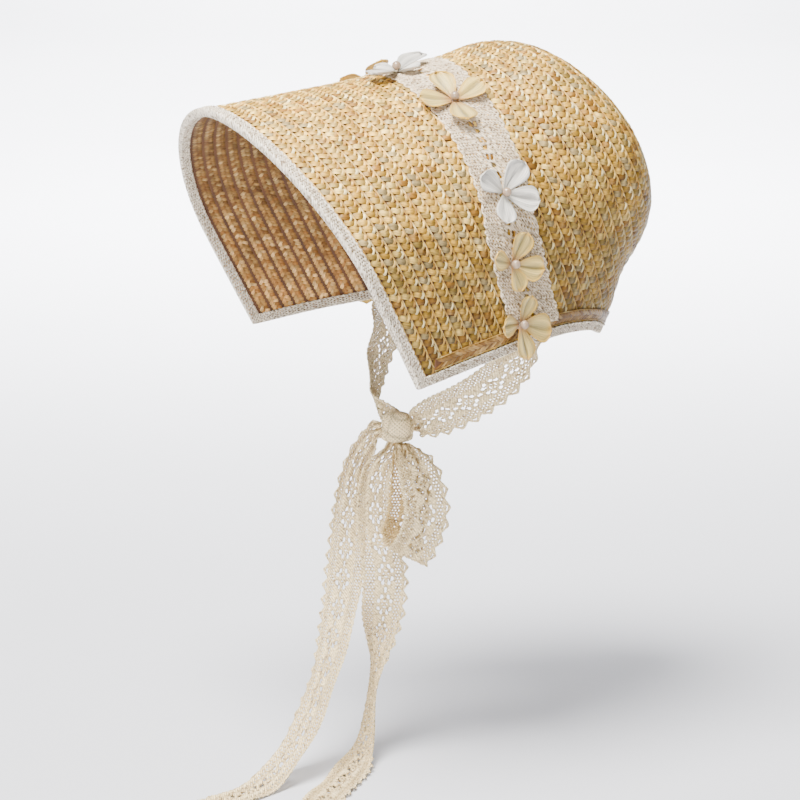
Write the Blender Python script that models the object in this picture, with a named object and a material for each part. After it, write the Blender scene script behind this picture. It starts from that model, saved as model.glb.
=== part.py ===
"""Straw poke bonnet with a lace band, cloth flowers, a lace edge binding and a lace chin tie.

Metres, +X is the wearer's left, -Y the front, +Z up. The origin is inside the crown, just under its ridge,
where the bonnet rests on the head. The tables and sizes below are in millimetres and are scaled once, when
a mesh is made.
"""
from math import ceil, cos, pi, radians, sin

import bmesh
import bpy
import numpy as np
from mathutils import Vector

MM = 0.001

# Sewn straw: the braid rows lie in parallel planes that lean back by this angle.
ROW_LEAN = radians(27.5)
STRAW_COLUMNS = ("row", "along", "crest", "waist", "half_width", "square", "sole", "foot")
STRAW_TABLE = (
    (0.0, -146.0, 56.0, -60.0, 136.0, 1.80, -460.0, -140.0),
    (7.0, -87.0, 34.0, -74.0, 125.0, 1.90, -360.0, -158.0),
    (14.0, -28.0, 13.0, -88.0, 110.0, 2.00, -285.0, -180.0),
    (18.0, 6.0, 3.0, -97.0, 102.0, 2.05, -250.0, -201.0),
    (20.0, 23.0, -2.0, -101.0, 99.0, 2.05, -236.0, -219.0),
    (21.4, 35.0, -5.0, -103.0, 98.0, 2.05, -226.0, -226.0),
    (24.0, 56.0, -9.0, -104.0, 96.0, 2.05, -204.0, -204.0),
    (27.0, 80.0, -21.0, -105.0, 90.0, 2.05, -191.0, -191.0),
    (29.0, 95.0, -38.0, -106.0, 78.0, 2.00, -180.0, -180.0),
    (31.0, 105.0, -59.0, -108.0, 60.0, 2.00, -165.0, -165.0),
    (34.0, 112.0, -81.0, -110.0, 35.0, 2.00, -142.0, -142.0),
    (38.0, 115.0, -108.0, -112.0, 4.0, 2.00, -116.0, -116.0),
)
LAST_ROW = 38.0
NAPE_ROW = 21.4
SEAM_ROW = 15.0
FLAT_FROM_ROW = 29.0
TURNING_FROM_ROW = 13.0
ROW_WIDTH = 8.4
STRAW_WALL = 2.6
ROW_STEP = 0.9
SELVEDGE = 0.92
STRAW_INSET = 1.5
SEAM_GAP_ROWS = 0.02
BRIM_SEGMENTS = 24
CROWN_SEGMENTS = 26
TIP_ROWS = (30.0, 31.5, 33.0, 35.0, 37.0, 38.0)
HEM_SAMPLES = 241
NAPE_STEPS = 5

# Lace binding: a folded strip; inset from the edge and height over the straw, point by point.
BINDING_SECTION = (
    (8.0, 1.5), (1.0, 1.5), (0.0, 0.5), (0.0, -3.5), (1.0, -4.6), (8.0, -4.6),
    (8.0, -3.7), (1.1, -3.7), (1.1, 0.5), (8.0, 0.5),
)
BINDING_INNER = -4.6

# Hem braid: one braid over the row ends.
HEM_BRAID_SECTION = ((8.5, 0.4), (8.5, 1.6), (12.5, 1.9), (16.5, 1.6), (16.5, 0.4))
HEM_BRAID_FIRST_ROW = 1.0

# Lace band: rows of its front and back edge on the ridge and at the hem, and how the edge bows.
BAND_FRONT = {"ridge": 14.6, "hem": 9.2, "bow": 2.2}
BAND_BACK = {"ridge": 20.0, "hem": 14.2, "bow": 1.35}
BAND_STEPS = 42
BAND_EYELET_REACH = 0.905
BAND_RAMP = (0.93, 0.962)
BAND_LOW = 0.5
BAND_HIGH = 2.3
BAND_THICKNESS = 0.9
BAND_SCALLOP_ROWS = 0.16
BAND_LINES = (0.0, 0.34, 0.66, 1.0)

# Flowers: row and angle of the middle, and each petal's direction and length. Directions turn from the hem
# side towards the back.
FLOWER_COLUMNS = ("name", "row", "angle", "colour", "petals")
FLOWER_TABLE = (
    ("flower_1", 10.6, 106.4, "yellow", ((44, 27.0), (126, 20.5), (230, 21.0), (326, 24.5))),
    ("flower_2", 12.3, 96.7, "yellow", ((48, 26.5), (130, 23.5), (236, 19.0), (352, 19.5))),
    ("flower_3", 14.5, 77.7, "white", ((54, 27.0), (128, 27.0), (216, 23.0), (328, 21.5))),
    ("flower_4", 16.3, 35.6, "yellow", ((94, 27.5), (172, 26.0), (252, 26.0), (342, 27.0))),
    ("flower_5", 15.6, 4.0, "white", ((32, 19.0), (120, 28.0), (210, 19.0), (294, 29.0))),
)
MIRRORED_FLOWERS = (("flower_6", 3), ("flower_7", 2), ("flower_8", 1), ("flower_9", 0))
PETAL_SHOULDER = 0.83
PETAL_SHOULDER_TURN = 23.0
PETAL_NOTCH = 7.0
PETAL_THICKNESS = 1.0
PETAL_RISE = 0.22
FLOWER_SEAT = 0.4
PEARL_RADIUS = 3.0
PEARL_SEAT = 0.3
PEARL_SIDES = 10
PEARL_RINGS = 5

# Chin tie. The knot stands turned about Z; the bow tables use its side, depth and height directions.
BOW_TURN = radians(27.0)
KNOT_MIDDLE = (-12.0, 23.0, -244.0)
KNOT_SIZE = (21.0, 18.0, 22.0)
KNOT_ROUNDING = 4.5
LACE_THICKNESS = 0.9
LACE_WIDTH = 33.0
LACE_LINES = (-0.5, -0.16, 0.16, 0.5)
STRAP_ROW = 11.7
STRAP_INSET = 14.0
STRAP_SEAT = 1.0
KNOT_GAP = 0.5
KNOT_LEAD = 5.0
STRAP_COLUMNS = ("x", "y", "z", "across_x", "across_y", "across_z", "width")
STRAP_TABLE = (
    (90.0, 25.0, -196.0, 0.20, 0.88, -0.40, 33.0),
    (72.0, 7.0, -217.0, 0.38, 0.66, -0.64, 33.0),
    (48.0, -7.0, -232.0, 0.38, 0.46, -0.80, 30.0),
    (30.0, -13.0, -240.0, 0.34, 0.34, -0.88, 20.0),
)
BOW_COLUMNS = ("side", "depth", "height", "turn", "tilt", "width")
LOOP_TABLE = (
    (-7.0, 29.5, -255.5, -10.0, 0.0, 13.0),
    (-5.5, 31.0, -259.0, -10.0, 12.0, 17.0),
    (0.5, 39.0, -266.0, -14.0, 20.0, 27.0),
    (6.5, 45.5, -281.0, -15.0, 8.0, 33.0),
    (9.0, 48.0, -301.0, -15.0, -6.0, 34.0),
    (3.0, 47.0, -321.0, -15.0, -18.0, 34.0),
    (-5.0, 40.0, -334.0, -15.0, -28.0, 34.0),
    (-8.0, 33.0, -325.0, -15.0, -22.0, 34.0),
    (-3.0, 30.0, -306.0, -15.0, -8.0, 34.0),
    (-2.0, 28.0, -286.0, -15.0, 0.0, 32.0),
    (-4.0, 26.0, -270.0, -12.0, 0.0, 24.0),
    (-7.5, 24.5, -259.0, -10.0, 0.0, 14.0),
    (-8.0, 24.0, -255.5, -10.0, 0.0, 12.0),
)
TAIL_NEAR_TABLE = (
    (-13.0, 17.0, -255.5, 0.0, 0.0, 12.0),
    (-13.5, 17.0, -259.0, 2.0, 0.0, 14.0),
    (-22.5, 19.5, -271.0, 10.0, 0.0, 22.0),
    (-27.0, 25.0, -311.0, 8.0, 0.0, 28.0),
    (-20.0, 31.0, -347.0, 2.0, 0.0, 33.0),
    (-21.0, 32.0, -370.0, 8.0, 0.0, 33.0),
    (-24.0, 27.0, -398.0, 52.0, 0.0, 33.0),
    (-28.0, 28.0, -422.0, 76.0, 0.0, 31.0),
    (-31.0, 34.0, -446.0, 80.0, 0.0, 29.0),
    (-35.0, 48.0, -469.0, 60.0, 0.0, 28.0),
    (-46.0, 86.0, -478.0, 12.0, 0.0, 28.0),
    (-58.0, 124.0, -478.5, 14.0, 0.0, 28.0),
    (-69.0, 160.0, -478.5, 16.0, 0.0, 28.0),
)
TAIL_FRONT_TABLE = (
    (-23.0, 24.0, -245.0, 0.0, -88.0, 13.0),
    (-26.5, 23.5, -245.5, 0.0, -84.0, 14.0),
    (-30.0, 20.0, -252.0, 15.0, -62.0, 17.0),
    (-39.0, 13.0, -268.0, 8.0, -25.0, 18.0),
    (-46.0, 11.0, -306.0, 12.0, 0.0, 26.0),
    (-49.0, 15.0, -341.0, 14.0, 0.0, 29.0),
    (-54.0, 30.0, -375.0, 32.0, 0.0, 31.0),
    (-62.0, 57.0, -408.0, 50.0, 0.0, 31.0),
    (-73.0, 73.0, -438.0, 50.0, 0.0, 30.0),
    (-86.0, 88.0, -460.0, 46.0, 0.0, 28.0),
    (-104.0, 108.0, -477.0, 40.0, 0.0, 28.0),
    (-128.0, 137.0, -478.5, 38.0, 0.0, 28.0),
    (-143.0, 155.0, -478.5, 38.0, 0.0, 28.0),
)
LOOP_STEPS = 28
TAIL_STEPS = 28
STRAP_STEPS = 15

COLOURS = {
    "straw": (0.62, 0.40, 0.15),
    "straw_hem": (0.58, 0.36, 0.13),
    "lace": (0.72, 0.62, 0.46),
    "lace_band": (0.76, 0.68, 0.54),
    "yellow": (0.86, 0.62, 0.26),
    "white": (0.82, 0.82, 0.80),
    "pearl": (0.80, 0.74, 0.66),
}
ROUGHNESS = {"straw": 0.45, "straw_hem": 0.5, "lace": 0.9, "lace_band": 0.9, "yellow": 0.6, "white": 0.6,
             "pearl": 0.2}


def clear_scene():
    for thing in list(bpy.data.objects):
        bpy.data.objects.remove(thing, do_unlink=True)


def material(name):
    """One Principled material for each kind of stuff."""
    made = bpy.data.materials.get(name)
    if made is None:
        made = bpy.data.materials.new(name)
        made.use_nodes = True
        shader = made.node_tree.nodes["Principled BSDF"]
        shader.inputs["Base Color"].default_value = (*COLOURS[name], 1.0)
        shader.inputs["Roughness"].default_value = ROUGHNESS[name]
        shader.inputs["Metallic"].default_value = 0.0
    return made


def new_object(name, stuff, vertices, faces, smooth_angle=35.0):
    """Makes a closed mesh object from millimetre points; its faces are turned outward."""
    mesh = bpy.data.meshes.new(name)
    mesh.from_pydata([tuple(float(value) * MM for value in point) for point in vertices], [], faces)
    work = bmesh.new()
    work.from_mesh(mesh)
    bmesh.ops.remove_doubles(work, verts=work.verts, dist=1e-6)
    bmesh.ops.recalc_face_normals(work, faces=work.faces)
    work.to_mesh(mesh)
    work.free()
    mesh.materials.append(material(stuff))
    mesh.set_sharp_from_angle(angle=radians(smooth_angle))
    made = bpy.data.objects.new(name, mesh)
    bpy.context.scene.collection.objects.link(made)
    return made


def interpolate(knots, values, wanted):
    """Monotone cubic curve through the knots."""
    knots = np.asarray(knots, float)
    values = np.asarray(values, float)
    step = np.diff(knots)
    slope = np.diff(values) / step
    bend = np.zeros_like(values)
    bend[0], bend[-1] = slope[0], slope[-1]
    for i in range(1, len(knots) - 1):
        if slope[i - 1] * slope[i] > 0:
            before = 2 * step[i] + step[i - 1]
            after = step[i] + 2 * step[i - 1]
            bend[i] = (before + after) / (before / slope[i - 1] + after / slope[i])
    wanted = np.asarray(wanted, float)
    span = np.clip(np.searchsorted(knots, wanted) - 1, 0, len(knots) - 2)
    t = (wanted - knots[span]) / step[span]
    start = (2 * t**3 - 3 * t**2 + 1) * values[span] + (t**3 - 2 * t**2 + t) * step[span] * bend[span]
    end = (-2 * t**3 + 3 * t**2) * values[span + 1] + (t**3 - t**2) * step[span] * bend[span + 1]
    return start + end


def unit(vectors):
    return vectors / np.linalg.norm(vectors, axis=-1, keepdims=True)


def straw_sizes(rows):
    """Section sizes of the bonnet at the given row numbers."""
    knots = [line[0] for line in STRAW_TABLE]
    sizes = {}
    for column, name in enumerate(STRAW_COLUMNS[1:], start=1):
        sizes[name] = interpolate(knots, [line[column] for line in STRAW_TABLE], rows)
    return sizes


def straw_points(rows, angles):
    """Outer surface points; the angle is measured from the ridge round to the wearer's left."""
    rows, angles = np.broadcast_arrays(np.asarray(rows, float), np.asarray(angles, float))
    sizes = straw_sizes(rows)
    across = np.sin(np.radians(angles))
    upward = np.cos(np.radians(angles))
    power = 2.0 / sizes["square"]
    above = upward >= 0.0
    x_above = sizes["half_width"] * np.sign(across) * np.abs(across) ** power
    x = np.where(above, x_above, sizes["half_width"] * across)
    rise_above = sizes["waist"] + (sizes["crest"] - sizes["waist"]) * np.abs(upward) ** power
    rise_below = sizes["waist"] + (sizes["waist"] - sizes["sole"]) * upward
    rise = np.where(above, rise_above, rise_below)
    y = sizes["along"] * cos(ROW_LEAN) - rise * sin(ROW_LEAN)
    z = sizes["along"] * sin(ROW_LEAN) + rise * cos(ROW_LEAN)
    return np.stack([x, y, z], axis=-1)


def straw_frame(rows, angles):
    """Point, change per row, change per degree and outward normal."""
    rows = np.asarray(rows, float)
    angles = np.asarray(angles, float)
    before = np.clip(rows - 0.02, 0.0, LAST_ROW)
    after = np.clip(rows + 0.02, 0.0, LAST_ROW)
    row_span = np.expand_dims(after - before, -1)
    by_row = (straw_points(after, angles) - straw_points(before, angles)) / row_span
    by_angle = (straw_points(rows, angles + 0.25) - straw_points(rows, angles - 0.25)) / 0.5
    normal = unit(np.cross(by_angle, by_row))
    return straw_points(rows, angles), by_row, by_angle, normal


def lifted(rows, angles, lift):
    """Points at a height over the outer surface."""
    point, _, _, normal = straw_frame(rows, angles)
    return point + normal * np.expand_dims(np.asarray(lift, float), -1)


def foot_angle(rows):
    """Angle at which each row meets the hem; 180 where the rows close behind the nape."""
    sizes = straw_sizes(rows)
    share = (sizes["waist"] - sizes["foot"]) / (sizes["waist"] - sizes["sole"])
    return 90.0 + np.degrees(np.arcsin(np.clip(share, -1.0, 1.0)))


def walk(rows, angles, heading, distance):
    """Moves points over the surface along a heading."""
    rows, angles = np.array(rows, float), np.array(angles, float)
    steps = max(1, ceil(distance / 2.0))
    for _ in range(steps):
        _, by_row, by_angle, _ = straw_frame(rows, angles)
        row_row = (by_row * by_row).sum(-1)
        row_angle = (by_row * by_angle).sum(-1)
        angle_angle = (by_angle * by_angle).sum(-1)
        on_row = (heading * by_row).sum(-1) * distance / steps
        on_angle = (heading * by_angle).sum(-1) * distance / steps
        spread = row_row * angle_angle - row_angle**2
        rows += (on_row * angle_angle - on_angle * row_angle) / spread
        angles += (on_angle * row_row - on_row * row_angle) / spread
    return rows, angles


def hem_line():
    """Rows, angles and inward headings along the near half of the hem, front corner to nape."""
    rows = NAPE_ROW * np.sin(np.linspace(0.0, pi / 2, HEM_SAMPLES))
    angles = foot_angle(rows)
    all_rows = np.concatenate([rows, rows[-2::-1]])
    all_angles = np.concatenate([angles, 360.0 - angles[-2::-1]])
    points, _, _, normals = straw_frame(all_rows, all_angles)
    headings = unit(np.cross(normals, np.gradient(points, axis=0)))[:HEM_SAMPLES]
    _, _, by_angle, normal = straw_frame(rows[:1], angles[:1])
    front = unit(np.cross(normal, by_angle))[0]
    headings[0] = (headings[0] + front) / (1.0 + headings[0] @ front)
    return rows, angles, headings


HEM_ROWS, HEM_ANGLES, HEM_HEADINGS = hem_line()
STRAW_EDGE_ROWS, STRAW_EDGE_ANGLES = walk(HEM_ROWS, HEM_ANGLES, HEM_HEADINGS, STRAW_INSET)
CLOSING_ROW = float(STRAW_EDGE_ROWS[-1])


def straw_edge_angle(row):
    """Angle at which the straw of a row ends, inside the binding."""
    if row >= CLOSING_ROW:
        return 180.0
    return float(np.interp(row, STRAW_EDGE_ROWS, STRAW_EDGE_ANGLES))


def nape_rows():
    """Rows at even steps along the straw's edge, between row 20 and the nape."""
    points = straw_points(STRAW_EDGE_ROWS, STRAW_EDGE_ANGLES)
    travelled = np.concatenate([[0.0], np.cumsum(np.linalg.norm(np.diff(points, axis=0), axis=1))])
    start = np.interp(20.0, STRAW_EDGE_ROWS, travelled)
    stops = np.linspace(start, travelled[-1], NAPE_STEPS + 1)[1:-1]
    return [float(row) for row in np.interp(stops, travelled, STRAW_EDGE_ROWS)]


NAPE_ROWS = nape_rows()


def row_lift(row):
    """Height of the braid's outside within its row: low at the front side, high at the selvedge."""
    if row > FLAT_FROM_ROW:
        return 0.0
    part = row - np.floor(row + 1e-9)
    if part <= SELVEDGE:
        return ROW_STEP * (part / SELVEDGE - 1.0)
    return -ROW_STEP * (part - SELVEDGE) / (1.0 - SELVEDGE)


def straw_lines(first, last):
    """Row numbers of the outside lines: two for each braid."""
    rows = [first]
    for whole in range(int(first), int(min(last, FLAT_FROM_ROW)) + 1):
        rows += [float(whole), whole + SELVEDGE]
    rows += [row for row in TIP_ROWS] + NAPE_ROWS + [CLOSING_ROW, last]
    rows = sorted(row for row in set(rows) if first <= row <= last)
    kept = [rows[0]]
    for row in rows[1:]:
        if row - kept[-1] > 0.03 or row == last:
            kept.append(row)
    return kept


def straw_shell(name, first, last, segments):
    """Straw wall between two rows: stepped outside, smooth inside, closed rows welded at the nape."""
    lines = straw_lines(first, last)
    shares = np.linspace(-1.0, 1.0, segments + 1)
    inner_rows = sorted({first, last, *[row for row in lines if is_inner_line(row)]})
    outer_starts, inner_starts, vertices = {}, {}, []
    for row in lines:
        outer_starts[row] = len(vertices)
        vertices += list(lifted(row, shares * straw_edge_angle(row), row_lift(row) + 0.0 * shares))
    for row in inner_rows:
        inner_starts[row] = len(vertices)
        vertices += list(lifted(row, shares * straw_edge_angle(row), 0.0 * shares - STRAW_WALL))
    faces = sheet_faces([outer_starts[row] for row in lines], segments)
    faces += sheet_faces([inner_starts[row] for row in inner_rows], segments)
    faces += end_faces(outer_starts[first], inner_starts[first], segments)
    if last == LAST_ROW:
        faces.append([outer_starts[last] + j for j in range(segments)])
        faces.append([inner_starts[last] + j for j in range(segments)])
    else:
        faces += end_faces(outer_starts[last], inner_starts[last], segments)
    for column in (0, segments):
        faces += hem_faces(lines, inner_rows, outer_starts, inner_starts, column)
    return new_object(name, "straw", vertices, faces)


def is_inner_line(row):
    """The inside has a line at each second row, and at each row where the hem turns in to the nape."""
    whole = abs(row - round(row)) < 1e-6
    turning = TURNING_FROM_ROW <= row <= CLOSING_ROW
    return row == CLOSING_ROW or row in NAPE_ROWS or row > FLAT_FROM_ROW or (
        whole and (turning or round(row) % 2 == 0))


def sheet_faces(starts, segments):
    """Four-sided faces between the lines; the two halves mirror each other, diagonals included."""
    faces = []
    for here, there in zip(starts[:-1], starts[1:]):
        for j in range(segments):
            if j < segments // 2:
                faces.append([here + j, here + j + 1, there + j + 1, there + j])
            else:
                faces.append([here + j + 1, there + j + 1, there + j, here + j])
    return faces


def end_faces(outer, inner, segments):
    return [[outer + j, outer + j + 1, inner + j + 1, inner + j] for j in range(segments)]


def hem_faces(lines, inner_rows, outer_starts, inner_starts, column):
    """Joins the outside and inside lines along the hem, one fan for each inside step."""
    faces = []
    for here, there in zip(inner_rows[:-1], inner_rows[1:]):
        if there > CLOSING_ROW + 1e-9:
            break
        between = [row for row in lines if here <= row <= there]
        for one, two in zip(between[:-1], between[1:]):
            faces.append([outer_starts[one] + column, outer_starts[two] + column, inner_starts[here] + column])
        faces.append([outer_starts[there] + column, inner_starts[there] + column, inner_starts[here] + column])
    return faces


def hem_picks():
    """Places along the hem samples that match the straw's row lines."""
    rows = [float(row) for row in range(1, 21)] + NAPE_ROWS
    picks = [int(np.argmin(np.abs(STRAW_EDGE_ROWS - row))) for row in rows]
    return picks + [HEM_SAMPLES - 1]


def mirrored_loop(half):
    """Closes a near-side half line with its mirror image."""
    other = half[::-1][1:-1] * np.array([-1.0, 1.0, 1.0])
    return np.concatenate([half, other])


def edge_half(distance, lift):
    """Near half of the edge line at an inset: ridge to front corner, then hem to nape."""
    shares = np.linspace(0.0, 1.0, BRIM_SEGMENTS // 2 + 1)[:-1]
    front_rows = 0.0 * shares
    front_angles = shares * float(HEM_ANGLES[0])
    _, _, by_angle, normal = straw_frame(front_rows, front_angles)
    headings = unit(np.cross(normal, by_angle))
    picks = [0] + hem_picks()
    rows = np.concatenate([front_rows, HEM_ROWS[picks]])
    angles = np.concatenate([front_angles, HEM_ANGLES[picks]])
    headings = np.concatenate([headings, HEM_HEADINGS[picks]])
    if distance > 0.0:
        rows, angles = walk(rows, angles, headings, distance)
    half = lifted(rows, angles, 0.0 * rows + lift)
    half[0, 0] = 0.0
    half[-1, 0] = 0.0
    return half


def edge_binding():
    """Folded lace strip round the whole edge."""
    rings = [mirrored_loop(edge_half(inset, height)) for inset, height in BINDING_SECTION]
    return swept("edge_binding", "lace", np.array(rings), closed_path=True)


def swept(name, stuff, rings, closed_path):
    """Solid from section rings: rings[k][i] is section point k at path place i."""
    section, places = rings.shape[:2]
    vertices = rings.reshape(-1, 3)
    faces = []
    for i in range(places if closed_path else places - 1):
        following = (i + 1) % places
        for k in range(section):
            nearby = (k + 1) % section
            faces.append([k * places + i, k * places + following, nearby * places + following,
                          nearby * places + i])
    if not closed_path:
        faces.append([k * places for k in range(section)])
        faces.append([k * places + places - 1 for k in range(section)])
    return new_object(name, stuff, vertices, faces)


def hem_braid():
    """One braid over the row ends, from the front corner round the nape to the other corner."""
    picks = [pick for pick in hem_picks() if HEM_ROWS[pick] >= HEM_BRAID_FIRST_ROW - 0.2]
    rings = []
    for inset, height in HEM_BRAID_SECTION:
        rows, angles = walk(HEM_ROWS[picks], HEM_ANGLES[picks], HEM_HEADINGS[picks], inset)
        near = lifted(rows, angles, 0.0 * rows + height)
        near[-1, 0] = 0.0
        rings.append(np.concatenate([near, near[::-1][1:] * np.array([-1.0, 1.0, 1.0])]))
    return swept("hem_braid", "straw_hem", np.array(rings), closed_path=False)


def plate_faces(rows, columns, offset, holes):
    """Faces of a thin plate whose outside grid comes first and inside grid after it; holes are left open."""
    def corner(side, i, j):
        return side * offset + i * columns + j

    present = {(i, j) for i in range(rows - 1) for j in range(columns - 1)} - set(holes)
    faces = []
    for i, j in sorted(present):
        corners = ((i, j), (i, j + 1), (i + 1, j + 1), (i + 1, j))
        for side in (0, 1):
            faces.append([corner(side, *place) for place in corners])
        neighbours = ((i - 1, j), (i, j + 1), (i + 1, j), (i, j - 1))
        for number, neighbour in enumerate(neighbours):
            if neighbour not in present:
                one, two = corners[number], corners[(number + 1) % 4]
                faces.append([corner(0, *one), corner(0, *two), corner(1, *two), corner(1, *one)])
    return faces


def plate(name, stuff, outside, inside, holes):
    rows, columns = outside.shape[:2]
    vertices = np.concatenate([outside.reshape(-1, 3), inside.reshape(-1, 3)])
    return new_object(name, stuff, vertices, plate_faces(rows, columns, rows * columns, holes))


def band_row(edge, share):
    """Row number of a band edge at a share of the way from ridge to hem."""
    return edge["ridge"] + (edge["hem"] - edge["ridge"]) * np.abs(share) ** edge["bow"]


def band_shares():
    """Places along the band, from the far hem over the ridge to the near hem."""
    middle = np.linspace(-BAND_EYELET_REACH, BAND_EYELET_REACH, BAND_STEPS + 1)
    return np.concatenate([[-BAND_RAMP[1], -BAND_RAMP[0]], middle, BAND_RAMP])


def band_lift(share):
    """Height of the band's underside: it steps up over the hem braid."""
    return np.where(np.abs(share) >= BAND_RAMP[0] - 1e-6, BAND_HIGH, BAND_LOW)


def lace_band():
    """Pierced lace over the bonnet with one row of eyelets."""
    shares = band_shares()
    outside, inside = [], []
    for number, share in enumerate(shares):
        front = band_row(BAND_FRONT, share)
        back = band_row(BAND_BACK, share)
        scallop = BAND_SCALLOP_ROWS * (1 if number % 2 else -1)
        rows = np.array([front + (back - front) * line for line in BAND_LINES])
        rows[0] -= scallop
        rows[-1] += scallop
        angles = share * foot_angle(rows)
        under = 0.0 * rows + band_lift(share)
        outside.append(lifted(rows, angles, under + BAND_THICKNESS))
        inside.append(lifted(rows, angles, under))
    holes = [(i, 1) for i in range(3, len(shares) - 4, 2)]
    return plate("lace_band", "lace_band", np.array(outside), np.array(inside), holes)


def flower_height(row, angle):
    """Height of the flower's underside: over the band, or over the raised foot of the band."""
    share = angle / float(foot_angle(row))
    reach = 0.07
    top = BAND_HIGH if abs(share) + reach > BAND_RAMP[0] else BAND_LOW
    return top + BAND_THICKNESS + FLOWER_SEAT


def flower(name, row, angle, colour, petals, mirror):
    """Four cupped petals round a middle, as one thin solid, and its pearl."""
    middle, by_row, _, normal = straw_frame(row, angle)
    back_way = unit(by_row)
    hem_way = unit(np.cross(back_way, normal))
    base = flower_height(row, angle)
    outline = []
    for number, (petal, reach) in enumerate(petals):
        following = petals[(number + 1) % 4][0] + (360 if number == 3 else 0)
        outline += [
            (petal - PETAL_SHOULDER_TURN, PETAL_SHOULDER * reach),
            (petal, reach),
            (petal + PETAL_SHOULDER_TURN, PETAL_SHOULDER * reach),
            ((petal + following) / 2.0, PETAL_NOTCH),
        ]
    ring_shares = (0.35, 1.0)
    vertices = []
    for thickness in (0.0, PETAL_THICKNESS):
        vertices.append(middle + normal * (base + thickness))
        for share in ring_shares:
            for turn, reach in outline:
                distance = reach * share
                direction = hem_way * cos(radians(turn)) + back_way * sin(radians(turn))
                height = base + thickness + PETAL_RISE * max(0.0, distance - PETAL_NOTCH)
                vertices.append(middle + direction * distance + normal * height)
    vertices = np.array(vertices)
    pearl_middle = middle + normal * (base + PETAL_THICKNESS + PEARL_SEAT + PEARL_RADIUS)
    if mirror:
        vertices = vertices * np.array([-1.0, 1.0, 1.0])
        pearl_middle = pearl_middle * np.array([-1.0, 1.0, 1.0])
    made = new_object(name, colour, vertices, flower_faces(len(outline)))
    pearl(name.replace("flower", "pearl"), pearl_middle)
    return made


def flower_faces(count):
    """Fans, rings and rim of a petal slab: the underside's points come first."""
    half = 1 + 2 * count
    faces = []
    for start in (0, half):
        for j in range(count):
            k = (j + 1) % count
            faces.append([start, start + 1 + j, start + 1 + k])
            faces.append([start + 1 + j, start + 1 + count + j, start + 1 + count + k, start + 1 + k])
    for j in range(count):
        k = (j + 1) % count
        faces.append([1 + count + j, 1 + count + k, half + 1 + count + k, half + 1 + count + j])
    return faces


def pearl(name, middle):
    mesh = bpy.data.meshes.new(name)
    work = bmesh.new()
    bmesh.ops.create_uvsphere(work, u_segments=PEARL_SIDES, v_segments=PEARL_RINGS, radius=PEARL_RADIUS * MM)
    bmesh.ops.translate(work, verts=work.verts, vec=Vector([float(value) * MM for value in middle]))
    work.to_mesh(mesh)
    work.free()
    mesh.materials.append(material("pearl"))
    mesh.shade_smooth()
    made = bpy.data.objects.new(name, mesh)
    bpy.context.scene.collection.objects.link(made)
    return made


def bow_point(side, depth, height):
    """From the bow's side, depth and height to the bonnet's frame."""
    x = side * sin(BOW_TURN) + depth * cos(BOW_TURN)
    y = side * cos(BOW_TURN) - depth * sin(BOW_TURN)
    return np.array([x, y, height])


def bow_across(turn, tilt):
    """Width direction of the lace: turned about the vertical, then tilted up at its side end."""
    turn, tilt = radians(turn), radians(tilt)
    return bow_point(cos(turn) * cos(tilt), sin(turn) * cos(tilt), sin(tilt))


def lace_ribbon(name, centres, acrosses, widths, steps):
    """Pierced lace strip along a smooth path; the eyelets are in every other step of its middle."""
    centres, acrosses, widths = np.array(centres), unit(np.array(acrosses)), np.array(widths)
    travelled = np.concatenate([[0.0], np.cumsum(np.linalg.norm(np.diff(centres, axis=0), axis=1))])
    stops = np.linspace(0.0, travelled[-1], steps + 1)

    def smooth(values):
        return np.stack([spline(travelled, values[:, k], stops) for k in range(3)], axis=-1)

    path = smooth(centres)
    across = unit(smooth(acrosses))
    width = interpolate(travelled, widths, stops)
    normal = unit(np.cross(across, np.gradient(path, axis=0)))
    outside, inside = [], []
    for i in range(steps + 1):
        line = np.array([path[i] + across[i] * width[i] * share for share in LACE_LINES])
        outside.append(line + normal[i] * LACE_THICKNESS / 2)
        inside.append(line - normal[i] * LACE_THICKNESS / 2)
    holes = [(i, 1) for i in range(3, steps - 2, 2)]
    return plate(name, "lace", np.array(outside), np.array(inside), holes)


def spline(knots, values, wanted):
    """Smooth cubic curve through the knots, with slopes from the neighbours."""
    slopes = np.gradient(values, knots)
    span = np.clip(np.searchsorted(knots, wanted) - 1, 0, len(knots) - 2)
    step = knots[span + 1] - knots[span]
    t = (wanted - knots[span]) / step
    start = (2 * t**3 - 3 * t**2 + 1) * values[span] + (t**3 - 2 * t**2 + t) * step * slopes[span]
    end = (-2 * t**3 + 3 * t**2) * values[span + 1] + (t**3 - t**2) * step * slopes[span + 1]
    return start + end


def bow_ribbon(name, table, steps):
    centres = [bow_point(*line[:3]) for line in table]
    acrosses = [bow_across(line[3], line[4]) for line in table]
    return lace_ribbon(name, centres, acrosses, [line[5] for line in table], steps)


def strap_start():
    """Top of a strap: flat against the inside of the binding above the hem."""
    hem_angle = float(foot_angle(STRAP_ROW))
    pick = int(np.argmin(np.abs(HEM_ROWS - STRAP_ROW)))
    heading = HEM_HEADINGS[pick]
    centres = []
    for inset in (STRAP_INSET, 2.0):
        row, angle = walk([STRAP_ROW], [hem_angle], np.array([heading]), inset)
        centres.append(lifted(row, angle, [BINDING_INNER - STRAP_SEAT - LACE_THICKNESS / 2])[0])
    _, _, _, normal = straw_frame(STRAP_ROW, hem_angle)
    across = unit(np.cross(heading, normal))
    if across[1] < 0.0:
        across = -across
    return centres, [across, across]


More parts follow.
